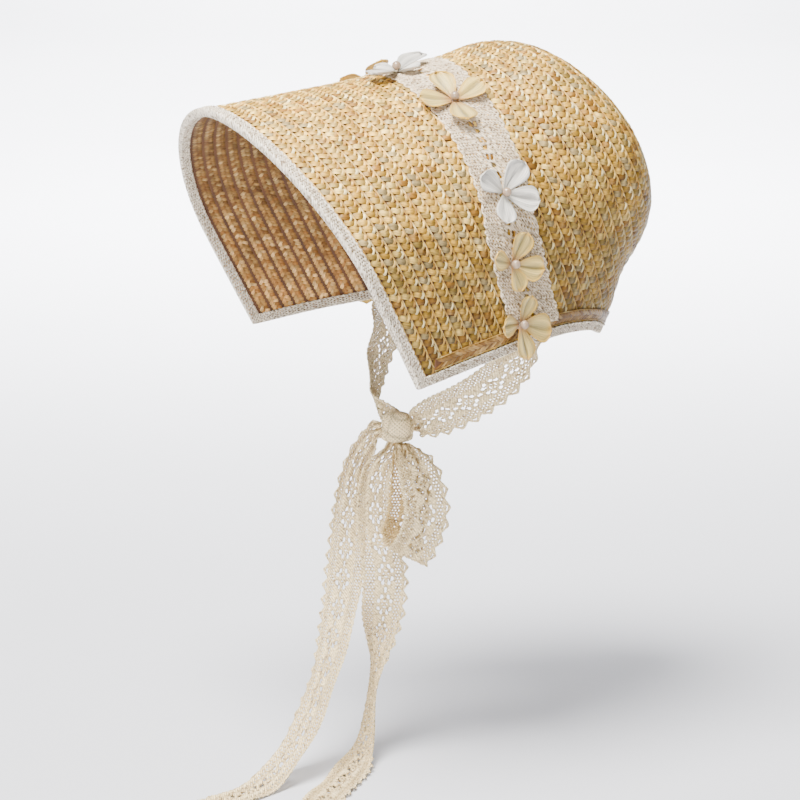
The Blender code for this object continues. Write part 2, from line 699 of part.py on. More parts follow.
def chin_strap(name, side, knot_place, knot_way, knot_across):
    """Strap from the hem down and under the chin to a face of the knot."""
    centres, acrosses = strap_start()
    widths = [LACE_WIDTH, LACE_WIDTH]
    for line in STRAP_TABLE:
        centres.append(np.array(line[:3]))
        acrosses.append(np.array(line[3:6]))
        widths.append(line[6])
    mirror = np.array([side, 1.0, 1.0])
    centres = [point * mirror for point in centres]
    acrosses = [direction * mirror for direction in acrosses]
    if side < 0:
        centres, acrosses, widths = centres[:-1], acrosses[:-1], widths[:-1]
        centres.append(np.array([-24.0, -15.0, -239.0]))
        acrosses.append(np.array([-0.2, 0.35, -0.9]))
        widths.append(24.0)
    for place in (knot_place + knot_way * KNOT_LEAD, knot_place):
        centres.append(place)
        acrosses.append(knot_across)
        widths.append(13.0)
    return lace_ribbon(name, centres, acrosses, widths, STRAP_STEPS)


def bow_knot():
    """Rounded block of wrapped lace, turned with the bow."""
    mesh = bpy.data.meshes.new("bow_knot")
    work = bmesh.new()
    bmesh.ops.create_cube(work, size=1.0)
    bmesh.ops.scale(work, vec=Vector([size * MM for size in KNOT_SIZE]), verts=work.verts)
    bmesh.ops.bevel(work, geom=work.edges[:], offset=KNOT_ROUNDING * MM, segments=2, affect="EDGES")
    work.to_mesh(mesh)
    work.free()
    mesh.materials.append(material("lace"))
    mesh.set_sharp_from_angle(angle=radians(40.0))
    made = bpy.data.objects.new("bow_knot", mesh)
    made.location = Vector([float(value) * MM for value in bow_point(*KNOT_MIDDLE)])
    made.rotation_euler = (0.0, 0.0, pi / 2 - BOW_TURN)
    bpy.context.scene.collection.objects.link(made)
    return made


def main():
    clear_scene()
    straw_shell("brim", STRAW_INSET / ROW_WIDTH, SEAM_ROW - SEAM_GAP_ROWS, BRIM_SEGMENTS)
    straw_shell("crown", SEAM_ROW + SEAM_GAP_ROWS, LAST_ROW, CROWN_SEGMENTS)
    hem_braid()
    edge_binding()
    lace_band()
    for name, row, angle, colour, petals in FLOWER_TABLE:
        flower(name, row, angle, colour, petals, mirror=False)
    for name, source in MIRRORED_FLOWERS:
        _, row, angle, colour, petals = FLOWER_TABLE[source]
        flower(name, row, angle, colour, petals, mirror=True)
    bow_knot()
    side_face = bow_point(KNOT_MIDDLE[0] + KNOT_SIZE[0] / 2 + KNOT_GAP, KNOT_MIDDLE[1], -241.0)
    back_face = bow_point(KNOT_MIDDLE[0], KNOT_MIDDLE[1] - KNOT_SIZE[1] / 2 - KNOT_GAP, -241.0)
    upright = np.array([0.0, 0.0, -1.0])
    chin_strap("chin_tie_near", 1.0, side_face, bow_point(1.0, 0.0, 0.0), upright)
    chin_strap("chin_tie_far", -1.0, back_face, bow_point(0.0, -1.0, 0.0), upright)
    bow_ribbon("bow_loop", LOOP_TABLE, LOOP_STEPS)
    bow_ribbon("tail_near", TAIL_NEAR_TABLE, TAIL_STEPS)
    bow_ribbon("tail_front", TAIL_FRONT_TABLE, TAIL_STEPS)


main()
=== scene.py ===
from math import cos, pi, radians, sin

import bmesh
import bpy
import numpy as np
from mathutils import Matrix, Vector


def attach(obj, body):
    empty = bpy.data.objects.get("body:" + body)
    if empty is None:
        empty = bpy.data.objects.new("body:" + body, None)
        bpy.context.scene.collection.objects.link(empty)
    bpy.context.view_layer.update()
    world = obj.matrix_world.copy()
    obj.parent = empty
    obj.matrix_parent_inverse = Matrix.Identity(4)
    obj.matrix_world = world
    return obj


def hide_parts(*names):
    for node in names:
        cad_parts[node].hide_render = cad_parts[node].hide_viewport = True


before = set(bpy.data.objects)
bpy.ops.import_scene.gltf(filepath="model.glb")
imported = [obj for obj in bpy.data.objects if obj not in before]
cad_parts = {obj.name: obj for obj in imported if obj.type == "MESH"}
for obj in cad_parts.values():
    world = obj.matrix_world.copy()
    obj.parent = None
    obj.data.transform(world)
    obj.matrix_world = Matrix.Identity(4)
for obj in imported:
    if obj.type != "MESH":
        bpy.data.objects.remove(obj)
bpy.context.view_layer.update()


# Straw poke bonnet, dressed: plaited straw rows, cotton lace, cloth flowers, pearls.
# Metres; the tables are in millimetres and are scaled once, when a mesh is made.

MM = 0.001

# Sewn straw: the braid rows lie in parallel planes that lean back by this angle.
ROW_LEAN = radians(27.5)
STRAW_COLUMNS = ("row", "along", "crest", "waist", "half_width", "square", "sole", "foot")
STRAW_TABLE = (
    (0.0, -146.0, 56.0, -60.0, 136.0, 1.80, -460.0, -140.0),
    (7.0, -87.0, 34.0, -74.0, 125.0, 1.90, -360.0, -158.0),
    (14.0, -28.0, 13.0, -88.0, 110.0, 2.00, -285.0, -180.0),
    (18.0, 6.0, 3.0, -97.0, 102.0, 2.05, -250.0, -201.0),
    (20.0, 23.0, -2.0, -101.0, 99.0, 2.05, -236.0, -219.0),
    (21.4, 35.0, -5.0, -103.0, 98.0, 2.05, -226.0, -226.0),
    (24.0, 56.0, -9.0, -104.0, 96.0, 2.05, -204.0, -204.0),
    (27.0, 80.0, -21.0, -105.0, 90.0, 2.05, -191.0, -191.0),
    (29.0, 95.0, -38.0, -106.0, 78.0, 2.00, -180.0, -180.0),
    (31.0, 105.0, -59.0, -108.0, 60.0, 2.00, -165.0, -165.0),
    (34.0, 112.0, -81.0, -110.0, 35.0, 2.00, -142.0, -142.0),
    (38.0, 115.0, -108.0, -112.0, 4.0, 2.00, -116.0, -116.0),
)
LAST_ROW = 38.0
NAPE_ROW = 21.4
SEAM_ROW = 15
ROW_WIDTH = 8.4
STRAW_WALL = 2.6
ROW_STEP = 0.9
SELVEDGE = 0.92
STRAW_INSET = 1.5
HEM_SAMPLES = 241

# Plait of one braid row, outside: long flat strands and narrow bright ones at a right angle to them.
PLAIT_PITCH = 5.2
PLAIT_PHASE = 0.37
STRAND_TURN = radians(51.0)
# Shade: shares of the strand's length, then painted light and shade there, lighter at the bend and darker
# where the strand passes under its neighbours; highlight: how much pale painted highlight is added.
FLAT_STRAND = {"length": 8.3, "width": 4.3, "height": 1.0, "crown": 0.45, "bow": 0.0,
               "shade": ((0.0, 0.2, 0.42, 0.58, 1.0), (0.6, 1.55, 1.4, 0.70, 0.4)), "painted_highlight": 0.12}
STEEP_STRAND = {"length": 6.4, "width": 2.0, "height": 1.15, "crown": 0.5, "bow": 0.35,
                "shade": ((0.0, 0.5, 1.0), (0.65, 1.40, 0.65)), "painted_highlight": 0.16}
FLAT_START = 1.1
STEEP_START = (1.6, 8.1)
FLAT_GRID = (7, 5)
STEEP_GRID = (6, 4)
CORD_RADIUS = 0.42
CORD_PLACE = 8.1
CORD_STEP = 3.0
CORD_WANDER = 0.10
CORD_LIFT = 0.15
# A cord's height in shares of its radius.
CORD_HEIGHT = 2.2
ROW_SAMPLES = 721
# Degrees that the strands keep from the end of their row.
END_MARGIN = 0.3
INSIDE_PITCH = 2.8
# These inside strands carry painted shade along them and a painted highlight, as the outside ones do.
INSIDE_STRAND = {"length": 6.2, "width": 2.5, "height": 0.5, "crown": 0.5, "bow": 0.0,
                 "shade": ((0.0, 0.5, 1.0), (0.5, 1.35, 0.35)), "painted_highlight": 0.05}
INSIDE_GRID = (5, 3)
INSIDE_RIB = 1.0
INSIDE_SINK = 0.75
# How far the columns of short strands slip along their row for each millimetre across it.
INSIDE_SLIP = 0.2
HEM_SLIP = 0.23
# The hem strands carry painted shade along them and a painted highlight, as the plait strands do.
HEM_STRAND = {"length": 9.8, "width": 2.9, "height": 0.75, "crown": 0.55, "bow": 0.0,
              "shade": ((0.0, 0.3, 0.7, 1.0), (0.45, 1.25, 1.2, 0.35)), "painted_highlight": 0.08}
HEM_GRID = (7, 4)
HEM_CORD_RADIUS = 0.45
HEM_CORDS = (0.2, ROW_WIDTH - 0.1)
HEM_INSET = 8.6
HEM_SQUEEZE = 0.93
HEM_STARTS = (0.3, 8.1)
HEM_SINKS = (0.0, 0.2)
HEM_END_GAP = 12.0
HEM_CORE_TOP = 1.15
HEM_CORE_UNDER = 0.35
HEM_PITCH = 3.7
HEM_LEAN = radians(26.0)
INSIDE_LEAN = radians(52.0)
INSIDE_STARTS = (0.4, 8.0)
# How strands differ: start in millimetres, shares of length, width, height and colour, and turn.
START_SPREAD = 0.22
LENGTH_SPREAD = (0.94, 1.06)
WIDTH_SPREAD = (0.88, 1.10)
HEIGHT_SPREAD = (0.88, 1.12)
TINT_SPREAD = (0.66, 1.26)
TURN_SPREAD = 0.06
# A strand comes up over the first share of its length and dives under its neighbour over the last.
STRAND_RISE = 0.22
STRAND_DIVE = 0.25
# The shell under the strands lies this far below the braid's surface.
BASE_SINK = 0.2
# Samples of a line before it is cut into even steps.
FINE_SAMPLES = 1201
MIRROR = np.array([-1.0, 1.0, 1.0])


def srgb(red, green, blue):
    """Linear colour from the 0 to 255 values that a picture shows."""
    linear = []
    for value in (red, green, blue):
        value /= 255.0
        linear.append(value / 12.92 if value <= 0.04045 else ((value + 0.055) / 1.055) ** 2.4)
    return tuple(linear)


# Pale colour of the painted highlight near the bends of the straw strands.
STRAW_PAINTED_HIGHLIGHT = np.array(srgb(255, 220, 140))
FLAT_TINTS = (
    (srgb(172, 130, 46), 6), (srgb(186, 144, 58), 5), (srgb(152, 122, 56), 5),
    (srgb(134, 92, 34), 3), (srgb(143, 123, 82), 3), (srgb(208, 172, 90), 2),
)
STEEP_TINTS = (
    (srgb(226, 184, 98), 5), (srgb(204, 156, 74), 4), (srgb(244, 220, 156), 3), (srgb(166, 120, 52), 2),
)
INSIDE_TINTS = (
    (srgb(150, 108, 58), 5), (srgb(162, 122, 70), 4), (srgb(126, 84, 42), 4), (srgb(186, 148, 94), 2),
)
HEM_TINTS = ((srgb(172, 126, 66), 5), (srgb(140, 96, 46), 4), (srgb(206, 162, 98), 3))
CORD_TINTS = ((srgb(230, 182, 92), 5), (srgb(210, 156, 70), 3), (srgb(246, 214, 144), 2))
# Painted shade on the straw: darker low on the sides and towards the back; inside, lighter low down and
# darker under the top.
# Heights and depths in the bonnet's frame, and how light the painted shade makes the straw there.
HEIGHT_PAINTED_SHADE = ((-190.0, -110.0, -50.0, 0.0), (0.42, 0.54, 0.84, 1.0))
INSIDE_PAINTED_SHADE = ((-190.0, -110.0, -50.0, 0.0), (1.40, 0.76, 0.50, 0.44))
DEPTH_PAINTED_SHADE = ((0.0, 60.0, 150.0), (1.0, 0.80, 0.64))


def cubic(knots, values, slopes, wanted):
    """Cubic curve through the knots with these slopes at them."""
    span = np.clip(np.searchsorted(knots, wanted) - 1, 0, len(knots) - 2)
    step = knots[span + 1] - knots[span]
    t = (wanted - knots[span]) / step
    start = (2 * t**3 - 3 * t**2 + 1) * values[span] + (t**3 - 2 * t**2 + t) * step * slopes[span]
    end = (-2 * t**3 + 3 * t**2) * values[span + 1] + (t**3 - t**2) * step * slopes[span + 1]
    return start + end


def interpolate(knots, values, wanted):
    """Monotone cubic curve through the knots."""
    knots = np.asarray(knots, float)
    values = np.asarray(values, float)
    step = np.diff(knots)
    slope = np.diff(values) / step
    bend = np.zeros_like(values)
    bend[0], bend[-1] = slope[0], slope[-1]
    for i in range(1, len(knots) - 1):
        if slope[i - 1] * slope[i] > 0:
            before = 2 * step[i] + step[i - 1]
            after = step[i] + 2 * step[i - 1]
            bend[i] = (before + after) / (before / slope[i - 1] + after / slope[i])
    return cubic(knots, values, bend, np.asarray(wanted, float))


def unit(vectors):
    return vectors / np.linalg.norm(vectors, axis=-1, keepdims=True)


def travel(points):
    """How far each point lies along a line of points."""
    return np.concatenate([[0.0], np.cumsum(np.linalg.norm(np.diff(points, axis=0), axis=1))])


def interp_points(wanted, knots, values):
    """Points at the wanted places of a line of points."""
    return np.stack([np.interp(wanted, knots, values[:, k]) for k in range(3)], axis=-1)


def straw_sizes(rows):
    """Section sizes of the bonnet at the given row numbers."""
    knots = [line[0] for line in STRAW_TABLE]
    sizes = {}
    for column, name in enumerate(STRAW_COLUMNS[1:], start=1):
        sizes[name] = interpolate(knots, [line[column] for line in STRAW_TABLE], rows)
    return sizes


def straw_points(rows, angles):
    """Outer surface points; the angle is measured from the ridge round towards +X."""
    rows, angles = np.broadcast_arrays(np.asarray(rows, float), np.asarray(angles, float))
    sizes = straw_sizes(rows)
    across = np.sin(np.radians(angles))
    upward = np.cos(np.radians(angles))
    power = 2.0 / sizes["square"]
    above = upward >= 0.0
    x_above = sizes["half_width"] * np.sign(across) * np.abs(across) ** power
    x = np.where(above, x_above, sizes["half_width"] * across)
    rise_above = sizes["waist"] + (sizes["crest"] - sizes["waist"]) * np.abs(upward) ** power
    rise_below = sizes["waist"] + (sizes["waist"] - sizes["sole"]) * upward
    rise = np.where(above, rise_above, rise_below)
    y = sizes["along"] * cos(ROW_LEAN) - rise * sin(ROW_LEAN)
    z = sizes["along"] * sin(ROW_LEAN) + rise * cos(ROW_LEAN)
    return np.stack([x, y, z], axis=-1)


def straw_frame(rows, angles):
    """Point, change per row, change per degree and outward normal."""
    rows, angles = np.broadcast_arrays(np.asarray(rows, float), np.asarray(angles, float))
    before = np.clip(rows - 0.02, 0.0, LAST_ROW)
    after = np.clip(rows + 0.02, 0.0, LAST_ROW)
    row_span = np.expand_dims(after - before, -1)
    by_row = (straw_points(after, angles) - straw_points(before, angles)) / row_span
    by_angle = (straw_points(rows, angles + 0.25) - straw_points(rows, angles - 0.25)) / 0.5
    normal = unit(np.cross(by_angle, by_row))
    return straw_points(rows, angles), by_row, by_angle, normal


def foot_angle(rows):
    """Angle at which each row meets the hem; 180 where the rows close behind the nape."""
    sizes = straw_sizes(rows)
    share = (sizes["waist"] - sizes["foot"]) / (sizes["waist"] - sizes["sole"])
    return 90.0 + np.degrees(np.arcsin(np.clip(share, -1.0, 1.0)))


def walk(rows, angles, heading, distance):
    """Moves points over the surface along a heading."""
    rows, angles = np.array(rows, float), np.array(angles, float)
    steps = max(1, int(np.ceil(distance / 2.0)))
    for _ in range(steps):
        _, by_row, by_angle, _ = straw_frame(rows, angles)
        row_row = (by_row * by_row).sum(-1)
        row_angle = (by_row * by_angle).sum(-1)
        angle_angle = (by_angle * by_angle).sum(-1)
        on_row = (heading * by_row).sum(-1) * distance / steps
        on_angle = (heading * by_angle).sum(-1) * distance / steps
        spread = row_row * angle_angle - row_angle**2
        rows += (on_row * angle_angle - on_angle * row_angle) / spread
        angles += (on_angle * row_row - on_row * row_angle) / spread
    return rows, angles


def hem_line():
    """Rows, angles and inward headings along the near half of the hem, front corner to nape."""
    rows = NAPE_ROW * np.sin(np.linspace(0.0, pi / 2, HEM_SAMPLES))
    angles = foot_angle(rows)
    all_rows = np.concatenate([rows, rows[-2::-1]])
    all_angles = np.concatenate([angles, 360.0 - angles[-2::-1]])
    points, _, _, normals = straw_frame(all_rows, all_angles)
    headings = unit(np.cross(normals, np.gradient(points, axis=0)))[:HEM_SAMPLES]
    _, _, by_angle, normal = straw_frame(rows[:1], angles[:1])
    front = unit(np.cross(normal, by_angle))[0]
    headings[0] = (headings[0] + front) / (1.0 + headings[0] @ front)
    return rows, angles, headings


HEM_ROWS, HEM_ANGLES, HEM_HEADINGS = hem_line()
STRAW_EDGE_ROWS, STRAW_EDGE_ANGLES = walk(HEM_ROWS, HEM_ANGLES, HEM_HEADINGS, STRAW_INSET)
CLOSING_ROW = float(STRAW_EDGE_ROWS[-1])


def straw_edge_angle(rows):
    """Angle at which the straw of a row ends, inside the binding."""
    rows = np.asarray(rows, float)
    open_rows = np.interp(rows, STRAW_EDGE_ROWS, STRAW_EDGE_ANGLES)
    return np.where(rows >= CLOSING_ROW, 180.0, open_rows)


def row_lift(rows):
    """Height of the braid's outside within its row: low at the front side, high at the selvedge."""
    part = rows - np.floor(rows)
    rising = ROW_STEP * (part / SELVEDGE - 1.0)
    falling = -ROW_STEP * (part - SELVEDGE) / (1.0 - SELVEDGE)
    return np.where(part <= SELVEDGE, rising, falling)


def add_object(name, data):
    made = bpy.data.objects.new(name, data)
    bpy.context.scene.collection.objects.link(made)
    return made


def new_mesh(name, points, faces, material, tints=None, weave=None):
    """Smooth mesh object from millimetre points, with an optional colour and cloth place for each point."""
    points = np.asarray(points, np.float32) * MM
    mesh = bpy.data.meshes.new(name)
    mesh.from_pydata(points.tolist(), [], np.asarray(faces).tolist())
    mesh.materials.append(material)
    mesh.shade_smooth()
    if tints is not None:
        layer = mesh.color_attributes.new(name="tint", type="FLOAT_COLOR", domain="POINT")
        colours = np.ones((len(points), 4), np.float32)
        colours[:, :3] = tints
        layer.data.foreach_set("color", colours.ravel())
    if weave is not None:
        layer = mesh.attributes.new(name="weave", type="FLOAT_VECTOR", domain="POINT")
        layer.data.foreach_set("vector", np.asarray(weave, np.float32).ravel())
    return add_object(name, mesh)


def grid_faces(rows, columns, start=0):
    """Four-sided faces of one grid of points."""
    i, j = np.meshgrid(np.arange(rows - 1), np.arange(columns - 1), indexing="ij")
    corner = start + i * columns + j
    return np.stack([corner, corner + 1, corner + columns + 1, corner + columns], axis=-1).reshape(-1, 4)


def pick_tints(palette, count, random):
    """One colour for each strand, from weighted choices, a little lighter or darker."""
    colours = np.array([colour for colour, _ in palette])
    weights = np.array([weight for _, weight in palette], float)
    chosen = colours[random.choice(len(palette), size=count, p=weights / weights.sum())]
    return chosen * random.uniform(*TINT_SPREAD, size=(count, 1))


def strand_profile(along, across, crown):
    """Height of a strand: it comes up out of the plait, runs flat and dives under its neighbour."""
    ends = np.clip(np.minimum(along / STRAND_RISE, (1.0 - along) / STRAND_DIVE), 0.0, 1.0)
    return np.sqrt(ends) - crown * (2.0 * across) ** 2


def strand_grid(shape):
    along = np.linspace(0.0, 1.0, shape[0])
    across = np.linspace(-0.5, 0.5, shape[1])
    return np.meshgrid(along, across, indexing="ij")


def straw_row_map(row):
    """Places s along a braid row and w across it, as points and normals on the straw."""
    middle = min(row + 0.5, LAST_ROW)
    edge = float(straw_edge_angle(middle))
    angles = np.linspace(-edge, edge, ROW_SAMPLES)
    points = straw_points(middle, angles)
    travelled = travel(points)

    def place(s, w):
        rows = np.clip(row + w / ROW_WIDTH, 0.02, LAST_ROW)
        turn = np.interp(s, travelled, angles)
        if edge < 180.0:
            limit = straw_edge_angle(rows) - END_MARGIN
            turn = np.clip(turn, -limit, limit)
        points, _, _, normals = straw_frame(rows, turn)
        return points, normals, row_lift(np.clip(row + w / ROW_WIDTH, row, row + SELVEDGE))

    return place, float(travelled[-1])


def add_strands(store, place, starts, kind, grid, tints, way, random, sink=0.0, shade_tone=HEIGHT_PAINTED_SHADE):
    """Adds one strand at each start: kind gives its size and shading, way its direction over the surface."""
    along, across = strand_grid(grid)
    count = len(starts)
    starts = starts + random.uniform(-START_SPREAD, START_SPREAD, size=(count, 2))
    length = kind["length"] * random.uniform(*LENGTH_SPREAD, size=(count, 1, 1))
    width = kind["width"] * random.uniform(*WIDTH_SPREAD, size=(count, 1, 1))
    turn = random.uniform(-TURN_SPREAD, TURN_SPREAD, size=(count, 1, 1))
    way_s = way[0] - turn * way[1]
    way_w = way[1] + turn * way[0]
    aside = across * width + kind["bow"] * np.sin(pi * along)
    s = starts[:, 0, None, None] + along * length * way_s - aside * way_w
    w = starts[:, 1, None, None] + along * length * way_w + aside * way_s
    points, normals, base = place(s, w)
    # Painted shade: the straw is darker low on the sides, towards the back and inside under the top.
    painted_shade = np.interp(points[..., 2], *shade_tone) * np.interp(points[..., 1], *DEPTH_PAINTED_SHADE)
    lift = random.uniform(*HEIGHT_SPREAD, size=(count, 1, 1))
    height = base + sink + kind["height"] * lift * strand_profile(along, across, kind["crown"])
    points = points + normals * np.expand_dims(height, -1)
    # Painted light and shade along each strand: lighter at its bend, darker where it comes out from and dives
    # under its neighbours.
    ramp = np.interp(along, *kind["shade"])
    # Painted highlight: pale shine added near the bend, strong on some strands and faint on others.
    luck = random.uniform(0.0, 1.6, size=(count, 1, 1))
    shine = kind["painted_highlight"] * np.exp(-((along - 0.3) / 0.14) ** 2) * luck ** 2
    colours = tints[:, None, None, :] * ramp[None, :, :, None] + np.expand_dims(shine, -1) * STRAW_PAINTED_HIGHLIGHT
    colours = colours * np.expand_dims(painted_shade, -1)
    apart = random.uniform(0.0, 400.0, size=(count, 1, 1))
    weave = np.stack(np.broadcast_arrays(along * length, across * width + apart, apart), axis=-1)
    firsts = grid[0] * grid[1] * np.arange(count)
    put_in(store, points, colours, weave, grid_faces(*grid)[None] + firsts[:, None, None])


def add_cord(store, place, length, width_place, radius, tints, random):
    """Thin strand that runs along a row: a half tube in short steps."""
    steps = max(3, int(round(length / CORD_STEP)))
    s = np.linspace(0.0, length, steps + 1)
    turn = np.linspace(0.0, pi, 4)
    wander = random.uniform(-CORD_WANDER, CORD_WANDER, size=(steps + 1, 1))
    stops, aside = np.broadcast_arrays(s[:, None], width_place + wander - radius * np.cos(turn))
    points, normals, base = place(stops, aside)
    height = base + CORD_LIFT + CORD_HEIGHT * radius * np.sin(turn)
    points = points + normals * np.expand_dims(height, -1)
    # Painted shade on the cord, as on the strands.
    painted_shade = np.interp(points[..., 2], *HEIGHT_PAINTED_SHADE) * np.interp(points[..., 1], *DEPTH_PAINTED_SHADE)
    colours = pick_tints(tints, steps + 1, random)[:, None, :] * np.expand_dims(painted_shade, -1)
    weave = np.stack([stops, aside + 7.0 * width_place, 0.0 * stops], axis=-1)
    put_in(store, points, colours, weave, grid_faces(steps + 1, 4))


def new_store():
    return {"points": [], "tints": [], "weave": [], "faces": [], "count": 0}


def put_in(store, points, tints, weave, faces):
    """Adds points with their colours and cloth places; the faces count from the first of these points."""
    store["faces"].append(faces.reshape(-1, 4) + store["count"])
    for key, values in (("points", points), ("tints", tints), ("weave", weave)):
        store[key].append(values.reshape(-1, 3))
    store["count"] += len(store["points"][-1])


def finish_store(name, store, material):
    return new_mesh(name, np.concatenate(store["points"]), np.concatenate(store["faces"]), material,
                    tints=np.concatenate(store["tints"]), weave=np.concatenate(store["weave"]))


def plait(store, place, length, phase, random):
    """Outside face of one braid row: a flat and a steep strand for each pitch, and the selvedge cord."""
    count = max(3, int(round(length / PLAIT_PITCH)))
    steps = (np.arange(count) + phase) * length / count
    flat_way = (cos(STRAND_TURN), sin(STRAND_TURN))
    steep_way = (sin(STRAND_TURN), -cos(STRAND_TURN))
    flat = np.stack([steps, np.full(count, FLAT_START)], axis=-1)
    steep = np.stack([steps + STEEP_START[0], np.full(count, STEEP_START[1])], axis=-1)
    tints = pick_tints(FLAT_TINTS, count, random)
    add_strands(store, place, flat, FLAT_STRAND, FLAT_GRID, tints, flat_way, random)
    tints = pick_tints(STEEP_TINTS, count, random)
    add_strands(store, place, steep, STEEP_STRAND, STEEP_GRID, tints, steep_way, random, sink=0.1)
    add_cord(store, place, length, CORD_PLACE, CORD_RADIUS, CORD_TINTS, random)


def plaited_rows(name, first, last, material, seed):
    """All the outside plait between two rows, as one mesh."""
    random = np.random.default_rng(seed)
    store = new_store()
    for row in range(first, last):
        place, length = straw_row_map(row)
        plait(store, place, length, (row * PLAIT_PHASE) % 1.0 - 0.5, random)
    return finish_store(name, store, material)


def inside_rows(name, first, last, material, seed):
    """Inside face of the braids: rounded ribs of short oblique strands in two columns."""
    random = np.random.default_rng(seed)
    store = new_store()
    for row in range(first, last):
        outer_place, length = straw_row_map(row)

        def place(s, w):
            points, normals, _ = outer_place(s, w)
            rib = INSIDE_RIB * np.sin(pi * np.clip(w / ROW_WIDTH, 0.0, 1.0))
            return points, -normals, STRAW_WALL - INSIDE_SINK + rib

        count = max(3, int(round(length / INSIDE_PITCH)))
        steps = (np.arange(count) + random.uniform(0.0, 1.0)) * length / count
        for start, way in zip(INSIDE_STARTS, (sin(INSIDE_LEAN), -sin(INSIDE_LEAN))):
            starts = np.stack([steps + INSIDE_SLIP * start, np.full(count, start)], axis=-1)
            tints = pick_tints(INSIDE_TINTS, count, random)
            add_strands(store, place, starts, INSIDE_STRAND, INSIDE_GRID, tints, (cos(INSIDE_LEAN), way),
                        random, shade_tone=INSIDE_PAINTED_SHADE)
    return finish_store(name, store, material)


def straw_base(name, material, segments=120):
    """Closed shell under the plait: stepped outside, smooth inside."""
    rows = [STRAW_INSET / ROW_WIDTH]
    for whole in range(0, int(LAST_ROW)):
        rows += [row for row in (float(whole), whole + 0.5, whole + SELVEDGE) if row > rows[0]]
    extra = [CLOSING_ROW - gap for gap in (0.0, 0.04, 0.1, 0.2, 0.35, 0.55)] + [LAST_ROW]
    rows = np.array(sorted({*rows, *extra}))
    shares = np.linspace(-1.0, 1.0, segments + 1)
    angles = shares[None, :] * straw_edge_angle(rows)[:, None]
    points, _, _, normals = straw_frame(rows[:, None], angles)
    outer = points + normals * (row_lift(rows) - BASE_SINK)[:, None, None]
    inner = points - normals * (STRAW_WALL - BASE_SINK)
    lines, columns = outer.shape[:2]
    total = lines * columns
    faces = [grid_faces(lines, columns), grid_faces(lines, columns, total)[:, ::-1]]
    j = np.arange(columns - 1)
    faces.append(np.stack([j, total + j, total + j + 1, j + 1], axis=-1))
    last = (lines - 1) * columns
    faces.append(np.stack([last + j, last + j + 1, total + last + j + 1, total + last + j], axis=-1))
    open_lines = np.nonzero(rows[1:] <= CLOSING_ROW + 1e-9)[0]
    for column in (0, columns - 1):
        here = open_lines * columns + column
        there = here + columns
        faces.append(np.stack([here, there, there + total, here + total], axis=-1))
    return new_mesh(name, np.concatenate([outer.reshape(-1, 3), inner.reshape(-1, 3)]),
                    np.concatenate(faces), material)


def put(tree, socket, value):
    """Sets an input, or links it to an output or to another node's first output."""
    if isinstance(value, bpy.types.Node):
        value = value.outputs[0]
    if isinstance(value, bpy.types.NodeSocket):
        tree.links.new(value, socket)
    else:
        socket.default_value = value


def node(tree, kind, *values, **settings):
    """Shader node: settings and inputs by name, then its first inputs in order."""
    made = tree.nodes.new(kind)
    for key, value in settings.items():
        name = key.replace("_", " ")
        if name in made.inputs:
            put(tree, made.inputs[name], value)
        else:
            setattr(made, key, value)
    for socket, value in zip(made.inputs, values):
        put(tree, socket, value)
    return made


def calculate(tree, operation, *values):
    return node(tree, "ShaderNodeMath", *values, operation=operation)


def attribute(tree, name):
    return node(tree, "ShaderNodeAttribute", attribute_name=name)


def cloud(tree, scale, detail=3.0):
    """Soft noise through the object."""
    place = node(tree, "ShaderNodeTexCoord").outputs["Object"]
    return node(tree, "ShaderNodeTexNoise", place, Scale=scale, Detail=detail)


def streaked(tree, stretch, **settings):
    """Noise stretched along the strand or the cloth."""
    place = node(tree, "ShaderNodeMapping", attribute(tree, "weave").outputs["Vector"], Scale=stretch)
    return node(tree, "ShaderNodeTexNoise", place, Scale=1.0, **settings)


def level(tree, source, low, high, start=0.0, end=1.0):
    """Brings the part of a value from start to end to the range from low to high."""
    return node(tree, "ShaderNodeMapRange", source, start, end, low, high)


def lightened(tree, colour, share):
    return node(tree, "ShaderNodeVectorMath", colour, operation="SCALE", Scale=share)


def dress(tree, shader, colour, height, strength, distance):
    """Gives a surface its colour and its fine relief."""
    put(tree, shader.inputs["Base Color"], colour)
    put(tree, shader.inputs["Normal"],
        node(tree, "ShaderNodeBump", Strength=strength, Distance=distance, Height=height))


def new_material(name, roughness, **settings):
    made = bpy.data.materials.new(name)
    made.use_nodes = True
    shader = made.node_tree.nodes["Principled BSDF"]
    shader.inputs["Roughness"].default_value = roughness
    for key, value in settings.items():
        shader.inputs[key.replace("_", " ")].default_value = value
    return made, made.node_tree, shader


def straw_material(name, roughness, strength):
    """Glossy plant fibre: the strand's colour with its painted light, shade and highlight, streaks along it
    and soft blotches.
    """
    made, tree, shader = new_material(name, roughness, Specular_IOR_Level=0.32,
                                      Specular_Tint=(1.0, 0.84, 0.55, 1.0))
    streaks = streaked(tree, (0.14, 1.3, 1.0), Detail=3.0, Roughness=0.6)
    shade = calculate(tree, "MULTIPLY", level(tree, streaks, 0.55, 1.45, 0.25, 0.75),
                      level(tree, cloud(tree, 40.0), 0.74, 1.26, 0.25, 0.75))
    dress(tree, shader, lightened(tree, attribute(tree, "tint"), shade), streaks, strength, 0.0005)
    return made


def plain_material(name, colour, roughness, bump_scale, bump_strength, spread):
    """One colour with soft uneven patches and a fine surface."""
    made, tree, shader = new_material(name, roughness)
    ramp = node(tree, "ShaderNodeValToRGB", cloud(tree, bump_scale / 12.0))
    for stop, position, share in zip(ramp.color_ramp.elements, (0.3, 0.7), (1.0 - spread, 1.0 + spread)):
        stop.position = position
        stop.color = (*[min(1.0, value * share) for value in colour], 1.0)
    dress(tree, shader, ramp, cloud(tree, bump_scale, detail=2.0), bump_strength, 0.0004)
    return made


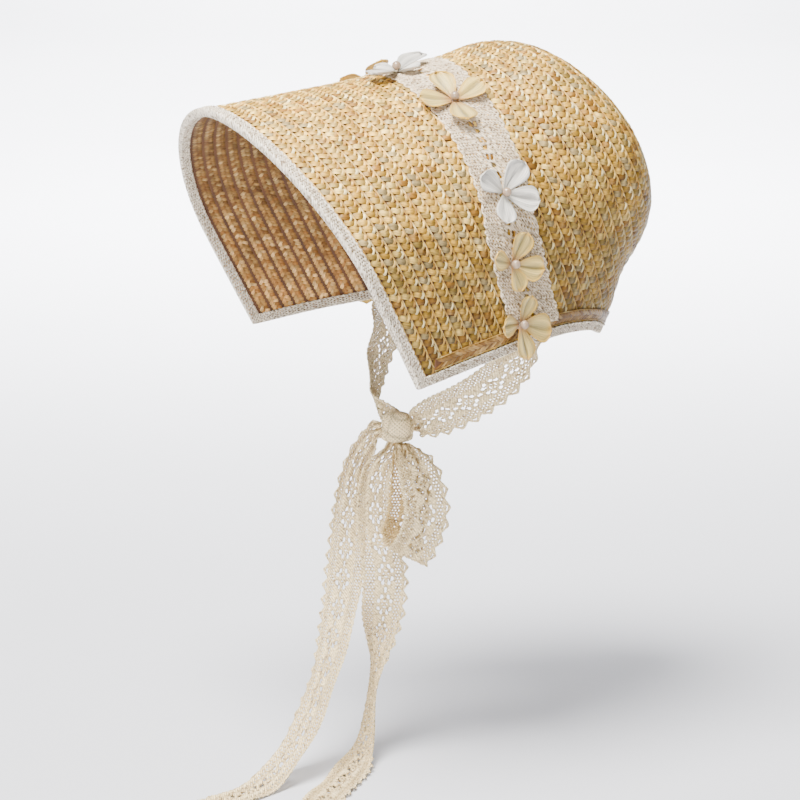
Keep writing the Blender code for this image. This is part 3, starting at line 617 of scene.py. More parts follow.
def lace_material(name, colour, dip_shade, thread=1.15):
    """Cotton thread: a fine net of over and under threads with painted shade where they dip, uneven colour
    and a matt surface.
    """
    made, tree, shader = new_material(name, 0.85)
    split = node(tree, "ShaderNodeSeparateXYZ", attribute(tree, "weave").outputs["Vector"])
    waves = [calculate(tree, "SINE", calculate(tree, "MULTIPLY", split.outputs[axis], 2 * pi / thread))
             for axis in ("X", "Y")]
    height = calculate(tree, "MULTIPLY_ADD", calculate(tree, "MULTIPLY", *waves), 0.35, cloud(tree, 1500.0))
    # Painted shade: the darker colour is mixed in where the threads dip.
    mixed = node(tree, "ShaderNodeMix", height, data_type="RGBA")
    mixed.inputs[6].default_value = (*dip_shade, 1.0)
    mixed.inputs[7].default_value = (*colour, 1.0)
    patched = lightened(tree, mixed.outputs[2], level(tree, cloud(tree, 55.0), 0.86, 1.1))
    shaded = node(tree, "ShaderNodeVectorMath", patched, attribute(tree, "tint"), operation="MULTIPLY")
    dress(tree, shader, shaded, height, 0.6, 0.0003)
    return made


def petal_material(name):
    """Satin cloth: the petal's colour with painted shade in its creases and pleats, and fine ribs that run
    out from the middle.
    """
    made, tree, shader = new_material(name, 0.38, Sheen_Weight=0.3)
    ribs = streaked(tree, (0.05, 1.3, 1.0), Detail=4.0)
    shade = level(tree, ribs, 0.62, 1.16, 0.3, 0.7)
    dress(tree, shader, lightened(tree, attribute(tree, "tint"), shade), ribs, 0.9, 0.0008)
    return made


# Bow and straps: the bow tables use side, depth and height directions turned about Z.
BOW_TURN = radians(27.0)
KNOT_MIDDLE = (-12.0, 23.0, -244.0)
KNOT_SIZE = (21.0, 18.0, 22.0)
LACE_WIDTH = 33.0
STRAP_ROW = 11.7
STRAP_INSET = 14.0
STRAP_SEAT = 1.0
BINDING_INNER = -4.6
KNOT_GAP = 0.5
KNOT_LEAD = 5.0
KNOT_FACE_HEIGHT = -241.0
STRAP_TABLE = (
    (90.0, 25.0, -196.0, 0.20, 0.88, -0.40, 33.0),
    (72.0, 7.0, -217.0, 0.38, 0.66, -0.64, 33.0),
    (48.0, -7.0, -232.0, 0.38, 0.46, -0.80, 30.0),
    (30.0, -13.0, -240.0, 0.34, 0.34, -0.88, 20.0),
)
FAR_STRAP_LAST = (24.0, -15.0, -239.0, 0.20, 0.35, -0.90, 24.0)
LOOP_TABLE = (
    (-7.0, 29.5, -255.5, -10.0, 0.0, 13.0),
    (-5.5, 31.0, -259.0, -10.0, 12.0, 17.0),
    (0.5, 39.0, -266.0, -14.0, 20.0, 27.0),
    (6.5, 45.5, -281.0, -15.0, 8.0, 33.0),
    (9.0, 48.0, -301.0, -15.0, -6.0, 34.0),
    (3.0, 47.0, -321.0, -15.0, -18.0, 34.0),
    (-5.0, 40.0, -334.0, -15.0, -28.0, 34.0),
    (-8.0, 33.0, -325.0, -15.0, -22.0, 34.0),
    (-3.0, 30.0, -306.0, -15.0, -8.0, 34.0),
    (-2.0, 28.0, -286.0, -15.0, 0.0, 32.0),
    (-4.0, 26.0, -270.0, -12.0, 0.0, 24.0),
    (-7.5, 24.5, -259.0, -10.0, 0.0, 14.0),
    (-8.0, 24.0, -255.5, -10.0, 0.0, 12.0),
)
TAIL_NEAR_TABLE = (
    (-13.0, 17.0, -255.5, 0.0, 0.0, 12.0),
    (-13.5, 17.0, -259.0, 2.0, 0.0, 14.0),
    (-22.5, 19.5, -271.0, 10.0, 0.0, 22.0),
    (-27.0, 25.0, -311.0, 8.0, 0.0, 28.0),
    (-20.0, 31.0, -347.0, 2.0, 0.0, 33.0),
    (-21.0, 32.0, -370.0, 8.0, 0.0, 33.0),
    (-24.0, 27.0, -398.0, 52.0, 0.0, 33.0),
    (-28.0, 28.0, -422.0, 76.0, 0.0, 31.0),
    (-31.0, 34.0, -446.0, 80.0, 0.0, 29.0),
    (-35.0, 48.0, -469.0, 60.0, 0.0, 28.0),
    (-46.0, 86.0, -478.0, 12.0, 0.0, 28.0),
    (-58.0, 124.0, -478.5, 14.0, 0.0, 28.0),
    (-69.0, 160.0, -478.5, 16.0, 0.0, 28.0),
)
TAIL_FRONT_TABLE = (
    (-23.0, 24.0, -245.0, 0.0, -88.0, 13.0),
    (-26.5, 23.5, -245.5, 0.0, -84.0, 14.0),
    (-30.0, 20.0, -252.0, 15.0, -62.0, 17.0),
    (-39.0, 13.0, -268.0, 8.0, -25.0, 18.0),
    (-46.0, 11.0, -306.0, 12.0, 0.0, 26.0),
    (-49.0, 15.0, -341.0, 14.0, 0.0, 29.0),
    (-54.0, 30.0, -375.0, 32.0, 0.0, 31.0),
    (-62.0, 57.0, -408.0, 50.0, 0.0, 31.0),
    (-73.0, 73.0, -438.0, 50.0, 0.0, 30.0),
    (-86.0, 88.0, -460.0, 46.0, 0.0, 28.0),
    (-104.0, 108.0, -477.0, 40.0, 0.0, 28.0),
    (-128.0, 137.0, -478.5, 38.0, 0.0, 28.0),
    (-143.0, 155.0, -478.5, 38.0, 0.0, 28.0),
)

# Lace: a grid of small cells; some cells are holes. Sizes in millimetres, repeats in cells.
LACE_CELL = 1.1
LACE_COLUMNS = 30
LACE_THICKNESS = 0.7
PICOT_CELLS = 10
PICOT_DEPTH = 4.0
PICOT_COLUMNS = 4
FAR_SCALLOP_CELLS = 5
FAR_SCALLOP_DEPTH = 1.0
DIAMOND_CELLS = 20
# Big holes of one repeat: first step, first column, steps long, columns wide.
BIG_HOLES = (
    (0, 14, 2, 2), (3, 12, 3, 2), (3, 16, 3, 2), (6, 10, 3, 2), (6, 18, 3, 2),
    (11, 10, 3, 2), (11, 18, 3, 2), (14, 12, 3, 2), (14, 16, 3, 2), (18, 14, 2, 2),
)
MIDDLE_HOLES = ((7, 14), (7, 15), (9, 13), (9, 16), (11, 14), (11, 15), (13, 13), (13, 16))
HOLE_ROUNDING = 0.34
NET_COLUMNS = (5, 7, 22, 24, 26)
LACE_PLEATS = 3.5
STRAP_END_WIDTH = 13.0
CROCHET_SHADE = 0.5
CROCHET_RELIEF = 0.62
SPECK_SHADE = 0.30
# Darker shade, mostly painted shade, is browner: powers of the shade in red, green and blue.
SHADE_POWERS = (0.95, 1.1, 1.3)
BAR_CELLS = 3
BAR_SHADE = 0.16
BAR_RELIEF = 0.22

# Painted shade along a lace strip: shares of its length, then red, green and blue. The loop is darker and
# yellower on its inner half, and a little darker at its ends by the knot.
EVEN_TONE = ((0.0, 1.0), (1.0, 1.0), (1.0, 1.0), (1.0, 1.0))
LOOP_PAINTED_SHADE = ((0.0, 0.08, 0.50, 0.60, 0.92, 1.0), (0.8, 1.0, 1.0, 0.74, 0.74, 0.7),
             (0.76, 1.0, 1.0, 0.64, 0.64, 0.62), (0.7, 1.0, 1.0, 0.46, 0.46, 0.5))

# Lace band over the bonnet.
BAND_FRONT = {"ridge": 14.6, "hem": 9.2, "bow": 2.2}
BAND_BACK = {"ridge": 20.0, "hem": 14.2, "bow": 1.35}
BAND_RAMP = (0.93, 0.962)
BAND_LOW = 0.5
BAND_HIGH = 2.3
BAND_COLUMNS = 38
BAND_THICKNESS = 0.9
BAND_CLOTH = 0.7
BAND_WEAVE_WIDTH = 42.0
BAND_RIBS = (0, 11, 25, 37)
BAND_EDGE_CELLS = 8
BAND_EDGE_DEPTH = 1.6

# Binding: how far it reaches in from the edge and its heights over the straw, outside and inside.
BINDING_REACH = 7.2
BINDING_OUTSIDE = 1.1
BINDING_INSIDE = -4.1
BINDING_CELL = 1.15
BINDING_CLOTH = 0.8
BINDING_FOLD = 1.0
BINDING_NOSE = 0.75
MITRE_LENGTH = 22.0

# Flowers: row and angle of the middle, and each petal's direction and length. Directions turn from the hem
# side towards the back.
FLOWER_TABLE = (
    ("flower_1", 10.6, 106.4, "yellow", ((44, 27.0), (126, 20.5), (230, 21.0), (326, 24.5))),
    ("flower_2", 12.3, 96.7, "yellow", ((48, 26.5), (130, 23.5), (236, 19.0), (352, 19.5))),
    ("flower_3", 14.5, 77.7, "white", ((54, 27.0), (128, 27.0), (216, 23.0), (328, 21.5))),
    ("flower_4", 16.3, 35.6, "yellow", ((94, 27.5), (172, 26.0), (252, 26.0), (342, 27.0))),
    ("flower_5", 15.6, 4.0, "white", ((32, 19.0), (120, 28.0), (210, 19.0), (294, 29.0))),
)
MIRRORED_FLOWERS = (("flower_6", 3), ("flower_7", 2), ("flower_8", 1), ("flower_9", 0))
PETAL_WIDTH = 0.80
PETAL_GRID = (17, 15)
PETAL_THICKNESS = 0.4
PETAL_RISE = 0.22
PLEAT_TURNS = 8.0
FLOWER_SEAT = 0.4
PEARL_RADIUS = 3.1


def lifted(rows, angles, lift):
    """Points at a height over the outer surface."""
    point, _, _, normal = straw_frame(rows, angles)
    return point + normal * np.expand_dims(np.asarray(lift, float), -1)


def spline(knots, values, wanted):
    """Smooth cubic curve through the knots, with slopes from the neighbours."""
    return cubic(knots, values, np.gradient(values, knots), wanted)


def bow_point(side, depth, height):
    """From the bow's side, depth and height to the bonnet's frame."""
    x = side * sin(BOW_TURN) + depth * cos(BOW_TURN)
    y = side * cos(BOW_TURN) - depth * sin(BOW_TURN)
    return np.array([x, y, height])


def bow_across(turn, tilt):
    """Width direction of the lace: turned about the vertical, then tilted up at its side end."""
    turn, tilt = radians(turn), radians(tilt)
    return bow_point(cos(turn) * cos(tilt), sin(turn) * cos(tilt), sin(tilt))


def thin_shell(name, grid, thickness, holes, material, weave, tints=None, closed=False):
    """Thin cloth: two faces, and walls round its rim and holes; closed joins the last step to the first."""
    rows, columns = grid.shape[:2]
    along = np.gradient(grid, axis=0)
    if closed:
        along = np.roll(grid, -1, axis=0) - np.roll(grid, 1, axis=0)
    across = np.gradient(grid, axis=1)
    normal = unit(np.cross(across, along) + 1e-9)
    top = grid + normal * thickness / 2
    under = grid - normal * thickness / 2
    cells = rows if closed else rows - 1
    present = np.ones((cells, columns - 1), bool)
    if holes is not None:
        present &= ~holes[:cells]
    i, j = np.nonzero(present)
    following = (i + 1) % rows
    total = rows * columns

    def corner(row, column, side):
        return side * total + row * columns + column

    faces = [np.stack([corner(i, j, 0), corner(i, j + 1, 0), corner(following, j + 1, 0),
                       corner(following, j, 0)], axis=-1),
             np.stack([corner(i, j, 1), corner(following, j, 1), corner(following, j + 1, 1),
                       corner(i, j + 1, 1)], axis=-1)]
    wide = np.zeros((cells + 2, columns + 1), bool)
    wide[1:-1, 1:-1] = present
    if closed:
        wide[0, 1:-1] = present[-1]
        wide[-1, 1:-1] = present[0]
    sides = (
        (wide[i, j + 1], (i, j), (i, j + 1)),
        (wide[i + 1, j + 2], (i, j + 1), (following, j + 1)),
        (wide[i + 2, j + 1], (following, j + 1), (following, j)),
        (wide[i + 1, j], (following, j), (i, j)),
    )
    for neighbour, one, two in sides:
        pick = ~neighbour
        one = (one[0][pick], one[1][pick])
        two = (two[0][pick], two[1][pick])
        faces.append(np.stack([corner(*two, 0), corner(*one, 0), corner(*one, 1), corner(*two, 1)], axis=-1))
    points = np.concatenate([top.reshape(-1, 3), under.reshape(-1, 3)])
    faces = np.concatenate(faces)
    used = np.unique(faces)
    renumber = np.zeros(len(points), int)
    renumber[used] = np.arange(len(used))
    tint = None if tints is None else np.concatenate([tints.reshape(-1, 3)] * 2)[used]
    cloth = np.concatenate([weave.reshape(-1, 3)] * 2)[used]
    return new_mesh(name, points[used], renumber[faces], material, tints=tint, weave=cloth)


def triangle_wave(steps, period):
    """1 at the tips and 0 in the valleys between them."""
    part = (np.asarray(steps, float) / period) % 1.0
    return 1.0 - np.abs(2.0 * part - 1.0)


def crochet(holes, shape, random, specks=0.0):
    """Painted light and shade, and relief, at each grid corner: raised thread lighter, sunk thread darker,
    and painted shade on the rims of the holes.
    """
    cells = np.zeros((shape[0] + 1, shape[1] + 1))
    cells[1:holes.shape[0] + 1, 1:holes.shape[1] + 1] = holes
    beside = (cells[:-1, :-1] + cells[1:, :-1] + cells[:-1, 1:] + cells[1:, 1:]) / 4.0
    step, column = np.meshgrid(np.arange(shape[0]), np.arange(shape[1]), indexing="ij")
    raised = (step + column) % 2 - 0.5
    bars = np.sin(2 * pi * step / BAR_CELLS + pi * (column // BAR_CELLS))
    # Painted light and shade: raised thread and bars lighter, sunk thread darker, and the rims of the holes
    # darker.
    shade = (1.0 + CROCHET_SHADE * raised + BAR_SHADE * bars) * (1.0 - 0.8 * beside)
    shade = shade * random.uniform(0.80, 1.12, size=shape)
    shade = shade * np.where(random.random(shape) < specks, SPECK_SHADE, 1.0)
    relief = CROCHET_RELIEF * raised + BAR_RELIEF * bars + random.uniform(-0.12, 0.12, size=shape)
    return np.stack([shade**power for power in SHADE_POWERS], axis=-1), relief


def pierce_net(holes, columns):
    """A small net: holes at the columns in every second step, one cell further on in every other of these."""
    for step in range(0, len(holes), 2):
        for column in columns:
            holes[step, column + (step // 2) % 2] = True


def lace_chart(steps):
    """Cells that are holes, and how far each grid corner moves so that the big holes are rounded."""
    holes = np.zeros((steps, LACE_COLUMNS), bool)
    moves = np.zeros((steps + 1, LACE_COLUMNS + 1, 2))
    for first in range(0, steps, PICOT_CELLS):
        holes[first + 4:first + 7, 2] = True
    pierce_net(holes, NET_COLUMNS)
    for first in range(0, steps, DIAMOND_CELLS):
        for step, column in MIDDLE_HOLES:
            if first + step < steps:
                holes[first + step, column] = True
        for step, column, long, wide in BIG_HOLES:
            low, high = first + step, first + step + long
            if high > steps:
                continue
            holes[low:high, column:column + wide] = True
            for row, row_way in ((low, 1), (high, -1)):
                for line, line_way in ((column, 1), (column + wide, -1)):
                    moves[row, line] = (row_way * HOLE_ROUNDING * 1.3, line_way * HOLE_ROUNDING)
    holes[:2] = False
    holes[-2:] = False
    return holes, moves


def lace_columns(steps):
    """Across positions of the grid lines: pointed picots on one edge, small scallops on the other."""
    numbers = np.arange(steps + 1)
    lines = np.tile(np.arange(LACE_COLUMNS + 1) * LACE_WIDTH / LACE_COLUMNS, (steps + 1, 1))
    edge = PICOT_DEPTH * (1.0 - triangle_wave(numbers, PICOT_CELLS))
    inner = PICOT_COLUMNS * LACE_WIDTH / LACE_COLUMNS
    for column in range(PICOT_COLUMNS):
        lines[:, column] = edge + (inner - edge) * column / PICOT_COLUMNS
    scallop = FAR_SCALLOP_DEPTH * (1.0 - np.abs(np.sin(pi * numbers / FAR_SCALLOP_CELLS)))
    lines[:, -1] -= scallop
    lines[:, -2] -= scallop * 0.4
    return lines / LACE_WIDTH - 0.5


def ribbon_path(centres, acrosses, widths):
    """Fine path of a lace strip: middle, width direction, width and normal at each step."""
    centres, acrosses, widths = np.array(centres), unit(np.array(acrosses)), np.array(widths)
    travelled = travel(centres)
    fine = np.linspace(0.0, travelled[-1], FINE_SAMPLES)

    def smooth(values):
        return np.stack([spline(travelled, values[:, k], fine) for k in range(3)], axis=-1)

    path, across = smooth(centres), unit(smooth(acrosses))
    width = interpolate(travelled, widths, fine)
    real = travel(path)
    steps = int(round(real[-1] / LACE_CELL))
    stops = np.linspace(0.0, real[-1], steps + 1)

    path, across = interp_points(stops, real, path), unit(interp_points(stops, real, across))
    width = np.interp(stops, real, width)
    return path, across, width, stops


def lace_ribbon(name, centres, acrosses, widths, material, seed, flip=False, shade_tone=EVEN_TONE):
    """Pierced lace strip along a path; where it narrows its spare width lies in pleats."""
    path, across, width, stops = ribbon_path(centres, acrosses, widths)
    steps = len(stops) - 1
    holes, moves = lace_chart(steps)
    shares = lace_columns(steps)
    shares = shares + moves[:, :, 1] / LACE_COLUMNS
    along = np.arange(steps + 1)[:, None] + moves[:, :, 0]
    if flip:
        shares = -shares
    where = np.clip(along, 0, steps)
    low = np.floor(where).astype(int)
    high = np.minimum(low + 1, steps)
    part = (where - low)[..., None]
    normal = unit(np.cross(across, np.gradient(path, axis=0)))
    base = path[low] * (1 - part) + path[high] * part
    spare = np.clip(1.0 - width / LACE_WIDTH, 0.0, 0.7)
    depth = 1.3 * LACE_WIDTH / (2 * pi * LACE_PLEATS) * np.sqrt(spare) * 1.35
    random = np.random.default_rng(seed)
    phase, drift = random.uniform(0, 2 * pi, 2)
    wave = np.sin(2 * pi * LACE_PLEATS * shares + phase + 0.02 * stops[:, None])
    ripple = 0.9 * np.abs(2 * shares) ** 2 * np.sin(stops[:, None] / 9.0 + drift + 2.5 * shares)
    ripple *= np.clip(np.minimum(stops, stops[-1] - stops) / 20.0, 0.0, 1.0)[:, None]
    tints, relief = crochet(holes, wave.shape, random, specks=0.03)
    # Painted shade along the strip, such as the loop's shaded inner half.
    painted_shade = np.stack([np.interp(stops / stops[-1], shade_tone[0], channel) for channel in shade_tone[1:]], axis=-1)
    tints = tints * painted_shade[:, None, :]
    offset = depth[:, None] * wave + ripple + relief
    grid = (base + across[:, None, :] * (shares * width[:, None])[..., None]
            + normal[:, None, :] * offset[..., None])
    weave = np.stack([shares * LACE_WIDTH, along * LACE_CELL, 0.0 * shares], axis=-1)
    made = thin_shell(name, grid, LACE_THICKNESS, holes, material, weave, tints=tints)
    return made, stops[-1]


def strap_start():
    """Top of a strap: flat against the inside of the binding above the hem."""
    hem_angle = float(foot_angle(STRAP_ROW))
    pick = int(np.argmin(np.abs(HEM_ROWS - STRAP_ROW)))
    heading = HEM_HEADINGS[pick]
    centres = []
    for inset in (STRAP_INSET, 2.0):
        row, angle = walk([STRAP_ROW], [hem_angle], np.array([heading]), inset)
        centres.append(lifted(row, angle, [BINDING_INNER - STRAP_SEAT - 0.45])[0])
    _, _, _, normal = straw_frame(STRAP_ROW, hem_angle)
    across = unit(np.cross(heading, normal))
    if across[1] < 0.0:
        across = -across
    return centres, [across, across]


def chin_strap(name, side, knot_place, knot_way, knot_across, material, seed):
    """Strap from the hem down and under the chin to a face of the knot."""
    centres, acrosses = strap_start()
    widths = [LACE_WIDTH, LACE_WIDTH]
    table = STRAP_TABLE if side > 0 else STRAP_TABLE[:-1] + (FAR_STRAP_LAST,)
    for line in table:
        centres.append(np.array(line[:3]))
        acrosses.append(np.array(line[3:6]))
        widths.append(line[6])
    mirror = np.array([side, 1.0, 1.0])
    centres = [point * mirror for point in centres]
    acrosses = [direction * mirror for direction in acrosses]
    for place in (knot_place + knot_way * KNOT_LEAD, knot_place):
        centres.append(place)
        acrosses.append(knot_across)
        widths.append(STRAP_END_WIDTH)
    return lace_ribbon(name, centres, acrosses, widths, material, seed, flip=True)


def bow_ribbon(name, table, material, seed, flip=False, shade_tone=EVEN_TONE):
    centres = [bow_point(*line[:3]) for line in table]
    acrosses = [bow_across(line[3], line[4]) for line in table]
    widths = [line[5] for line in table]
    return lace_ribbon(name, centres, acrosses, widths, material, seed, flip=flip, shade_tone=shade_tone)


def knot_wrap(name, material):
    """Lace wrapped tight round the knot: a barrel with uneven folds, painted shade in their creases and
    darker dots.
    """
    turns = np.linspace(0.0, 2 * pi, 145)[:-1]
    shares = np.linspace(-1.0, 1.0, 41)
    share, turn = np.meshgrid(shares, turns, indexing="ij")
    rounding = np.sqrt(np.clip(1.0 - np.abs(share) ** 8, 0.0, 1.0))
    waist = (1.0 - 0.22 * np.abs(share) ** 3 - 0.10 * share) * rounding
    bent = turn + 0.5 * np.sin(2.0 * turn + 0.7) + 0.35 * share
    folds = 0.15 * (np.abs(np.sin(3.5 * bent)) ** 0.8 - 0.6) + 0.03 * np.sin(17.0 * bent + 4.0 * share)
    wraps = 0.20 * (np.abs(np.sin(2.6 * share + 1.2 * np.sin(turn + 0.6) + 0.4)) ** 0.6 - 0.6)
    radius = waist * (1.0 + folds + wraps)
    side = KNOT_SIZE[0] / 2 * radius * np.cos(turn)
    depth = KNOT_SIZE[1] / 2 * radius * np.sin(turn)
    height = KNOT_SIZE[2] / 2 * share
    middle = bow_point(*KNOT_MIDDLE)
    side_way, depth_way = bow_point(1.0, 0.0, 0.0), bow_point(0.0, 1.0, 0.0)
    points = middle + side[..., None] * side_way + depth[..., None] * depth_way
    points[..., 2] = middle[2] + height
    rows, columns = share.shape
    i, j = np.meshgrid(np.arange(rows - 1), np.arange(columns), indexing="ij")
    following = (j + 1) % columns
    faces = np.stack([i * columns + j, i * columns + following, (i + 1) * columns + following,
                      (i + 1) * columns + j], axis=-1).reshape(-1, 4)
    weave = np.stack([turn * 9.5, height, 0.0 * turn], axis=-1).reshape(-1, 3)
    dots = np.sin(2 * pi * height / 2.8 + turn) * np.sin(21.0 * turn)
    # Painted shade: the creases of the folds and wraps are darker; the dots are a darker pattern like small
    # holes.
    sunk = np.minimum(folds, 0.0) + np.minimum(wraps, 0.0)
    shade = 0.95 - 1.1 * np.clip(dots - 0.3, 0.0, 1.0) + 4.0 * sunk
    tints = np.repeat(np.clip(shade, 0.30, 1.0).reshape(-1, 1), 3, axis=-1)
    made = new_mesh(name, points.reshape(-1, 3), faces, material, tints=tints, weave=weave)
    weld_mesh(made)
    return made


def weld_mesh(made):
    """Joins points that lie together and closes the poles."""
    work = bmesh.new()
    work.from_mesh(made.data)
    bmesh.ops.remove_doubles(work, verts=work.verts, dist=2e-5)
    bmesh.ops.recalc_face_normals(work, faces=work.faces)
    work.to_mesh(made.data)
    work.free()


def band_row(edge, share):
    """Row number of a band edge at a share of the way from ridge to hem."""
    return edge["ridge"] + (edge["hem"] - edge["ridge"]) * np.abs(share) ** edge["bow"]


def band_chart(steps):
    """Holes of the band: a small net, and a chain of big holes along its middle."""
    holes = np.zeros((steps, BAND_COLUMNS), bool)
    pierce_net(holes, range(1, BAND_COLUMNS - 2, 2))
    for column in BAND_RIBS:
        holes[:, column] = False
    for first in range(0, steps - 12, 12):
        holes[first:first + 12, 15:22] = False
        holes[first + 1:first + 5, 16:18] = True
        holes[first + 1:first + 5, 19:21] = True
        holes[first + 7:first + 10, 17:20] = True
    holes[:2] = False
    holes[-2:] = False
    return holes


def lace_band(name, material):
    """Lace over the bonnet from hem to hem, laid on the straw."""
    fine = np.linspace(-1.0, 1.0, FINE_SAMPLES) * BAND_RAMP[1]
    middle_rows = (band_row(BAND_FRONT, fine) + band_row(BAND_BACK, fine)) / 2
    middle = straw_points(middle_rows, fine * foot_angle(middle_rows))
    travelled = travel(middle)
    steps = int(round(travelled[-1] / LACE_CELL))
    shares = np.interp(np.linspace(0.0, travelled[-1], steps + 1), travelled, fine)
    front, back = band_row(BAND_FRONT, shares), band_row(BAND_BACK, shares)
    numbers = np.arange(steps + 1)
    front = front - BAND_EDGE_DEPTH / ROW_WIDTH * (np.abs(np.sin(pi * numbers / BAND_EDGE_CELLS)) - 0.5)
    back = back + BAND_EDGE_DEPTH / ROW_WIDTH * (np.abs(np.sin(pi * (numbers + 2) / BAND_EDGE_CELLS)) - 0.5)
    lines = np.linspace(0.0, 1.0, BAND_COLUMNS + 1)
    rows = front[:, None] + (back - front)[:, None] * lines
    angles = shares[:, None] * foot_angle(rows)
    height = np.interp(np.abs(shares), (BAND_RAMP[0] - 0.03, BAND_RAMP[0]), (BAND_LOW, BAND_HIGH))
    holes = band_chart(steps)
    tints, relief = crochet(holes, rows.shape, np.random.default_rng(27), specks=0.14)
    grid = lifted(rows, angles, height[:, None] + BAND_THICKNESS / 2 + 0.5 * relief)
    weave = np.stack(np.broadcast_arrays(lines[None, :] * BAND_WEAVE_WIDTH, numbers[:, None] * LACE_CELL,
                                         0.0), axis=-1)
    made = thin_shell(name, grid, BAND_CLOTH, holes, material, weave, tints=tints)
    laid = straw_points(rows, angles)
    across = laid[:, -1] - laid[:, 0]
    along = unit(np.gradient(laid[:, BAND_COLUMNS // 2], axis=0))
    straight = across - np.sum(across * along, axis=1, keepdims=True) * along
    return made, travelled[-1], float(np.linalg.norm(straight, axis=1).mean())


def edge_samples(spacing):
    """Near half of the edge, ridge to corner to nape: rows, angles and mitred inward headings."""
    corner_angle = float(HEM_ANGLES[0])
    angles = np.linspace(0.0, corner_angle, 801)
    points = straw_points(0.0 * angles, angles)
    front_travel = travel(points)
    count = int(round(front_travel[-1] / spacing))
    front_stops = np.linspace(0.0, front_travel[-1], count + 1)[:-1]
    front_angles = np.interp(front_stops, front_travel, angles)
    _, _, by_angle, normal = straw_frame(0.0 * front_angles, front_angles)
    tangent = unit(by_angle)
    headings = unit(np.cross(normal, by_angle))
    mitre = HEM_HEADINGS[0]
    slant = float(mitre @ -tangent[-1])
    fade = np.clip(1.0 - (front_travel[-1] - front_stops) / MITRE_LENGTH, 0.0, 1.0)
    headings = headings - tangent * (slant * fade)[:, None]
    hem_points = straw_points(HEM_ROWS, HEM_ANGLES)
    hem_travel = travel(hem_points)
    hem_count = int(round(hem_travel[-1] / spacing))
    hem_stops = np.linspace(0.0, hem_travel[-1], hem_count + 1)
    hem_rows = np.interp(hem_stops, hem_travel, HEM_ROWS)
    hem_angles = np.interp(hem_stops, hem_travel, HEM_ANGLES)
    plain = HEM_HEADINGS.copy()
    plain[0] = plain[1]
    hem_headings = unit(interp_points(hem_stops, hem_travel, plain))
    hem_tangent = unit(np.gradient(straw_points(hem_rows, hem_angles), axis=0))
    hem_slant = float(mitre @ hem_tangent[0])
    hem_fade = np.clip(1.0 - hem_stops / MITRE_LENGTH, 0.0, 1.0)
    hem_headings = hem_headings + hem_tangent * (hem_slant * hem_fade)[:, None]
    rows = np.concatenate([0.0 * front_angles, hem_rows])
    all_angles = np.concatenate([front_angles, hem_angles])
    return rows, all_angles, np.concatenate([headings, hem_headings]), count


def mirrored_loop(half):
    """Closes a near-side half line with its mirror image."""
    half = half.copy()
    half[0, 0] = 0.0
    half[-1, 0] = 0.0
    return np.concatenate([half, half[::-1][1:-1] * MIRROR])


def binding(name, material):
    """Net binding folded round the whole edge."""
    rows, angles, headings, _ = edge_samples(BINDING_CELL)
    bend = np.linspace(0.0, pi, 7)[1:-1]
    half = (BINDING_OUTSIDE - BINDING_INSIDE) / 2
    middle = (BINDING_OUTSIDE + BINDING_INSIDE) / 2
    flat = np.linspace(BINDING_REACH, BINDING_FOLD, 8)
    section = [(inset, BINDING_OUTSIDE) for inset in flat]
    section += [(BINDING_FOLD - BINDING_NOSE * sin(turn), middle + half * cos(turn)) for turn in bend]
    section += [(inset, BINDING_INSIDE) for inset in flat[::-1]]
    lines, measure = [], [0.0]
    steps = 2 * (len(rows) - 1)
    holes = np.zeros((steps, len(section) - 1), bool)
    pierce_net(holes, (1, 3, 5, len(section) - 8, len(section) - 6, len(section) - 4))
    tints, relief = crochet(holes, (steps, len(section)), np.random.default_rng(28), specks=0.17)
    numbers = np.arange(len(rows))
    for k, (inset, height) in enumerate(section):
        here_rows, here_angles = walk(rows, angles, headings, inset)
        edge = k in (0, len(section) - 1)
        bump = 1.0 * (numbers % 4 < 2) if edge else 0.5 * relief[:len(rows), k]
        lines.append(mirrored_loop(lifted(here_rows, here_angles, height + bump)))
        if k:
            before = section[k - 1]
            measure.append(measure[-1] + ((inset - before[0])**2 + (height - before[1])**2) ** 0.5)
    grid = np.stack(lines, axis=1)
    weave = np.stack(np.broadcast_arrays(np.array(measure)[None, :], np.arange(steps)[:, None] * BINDING_CELL,
                                         0.0), axis=-1)
    made = thin_shell(name, grid, BINDING_CLOTH, holes, material, weave, tints=tints, closed=True)
    return made, steps * BINDING_CELL, measure[-1]


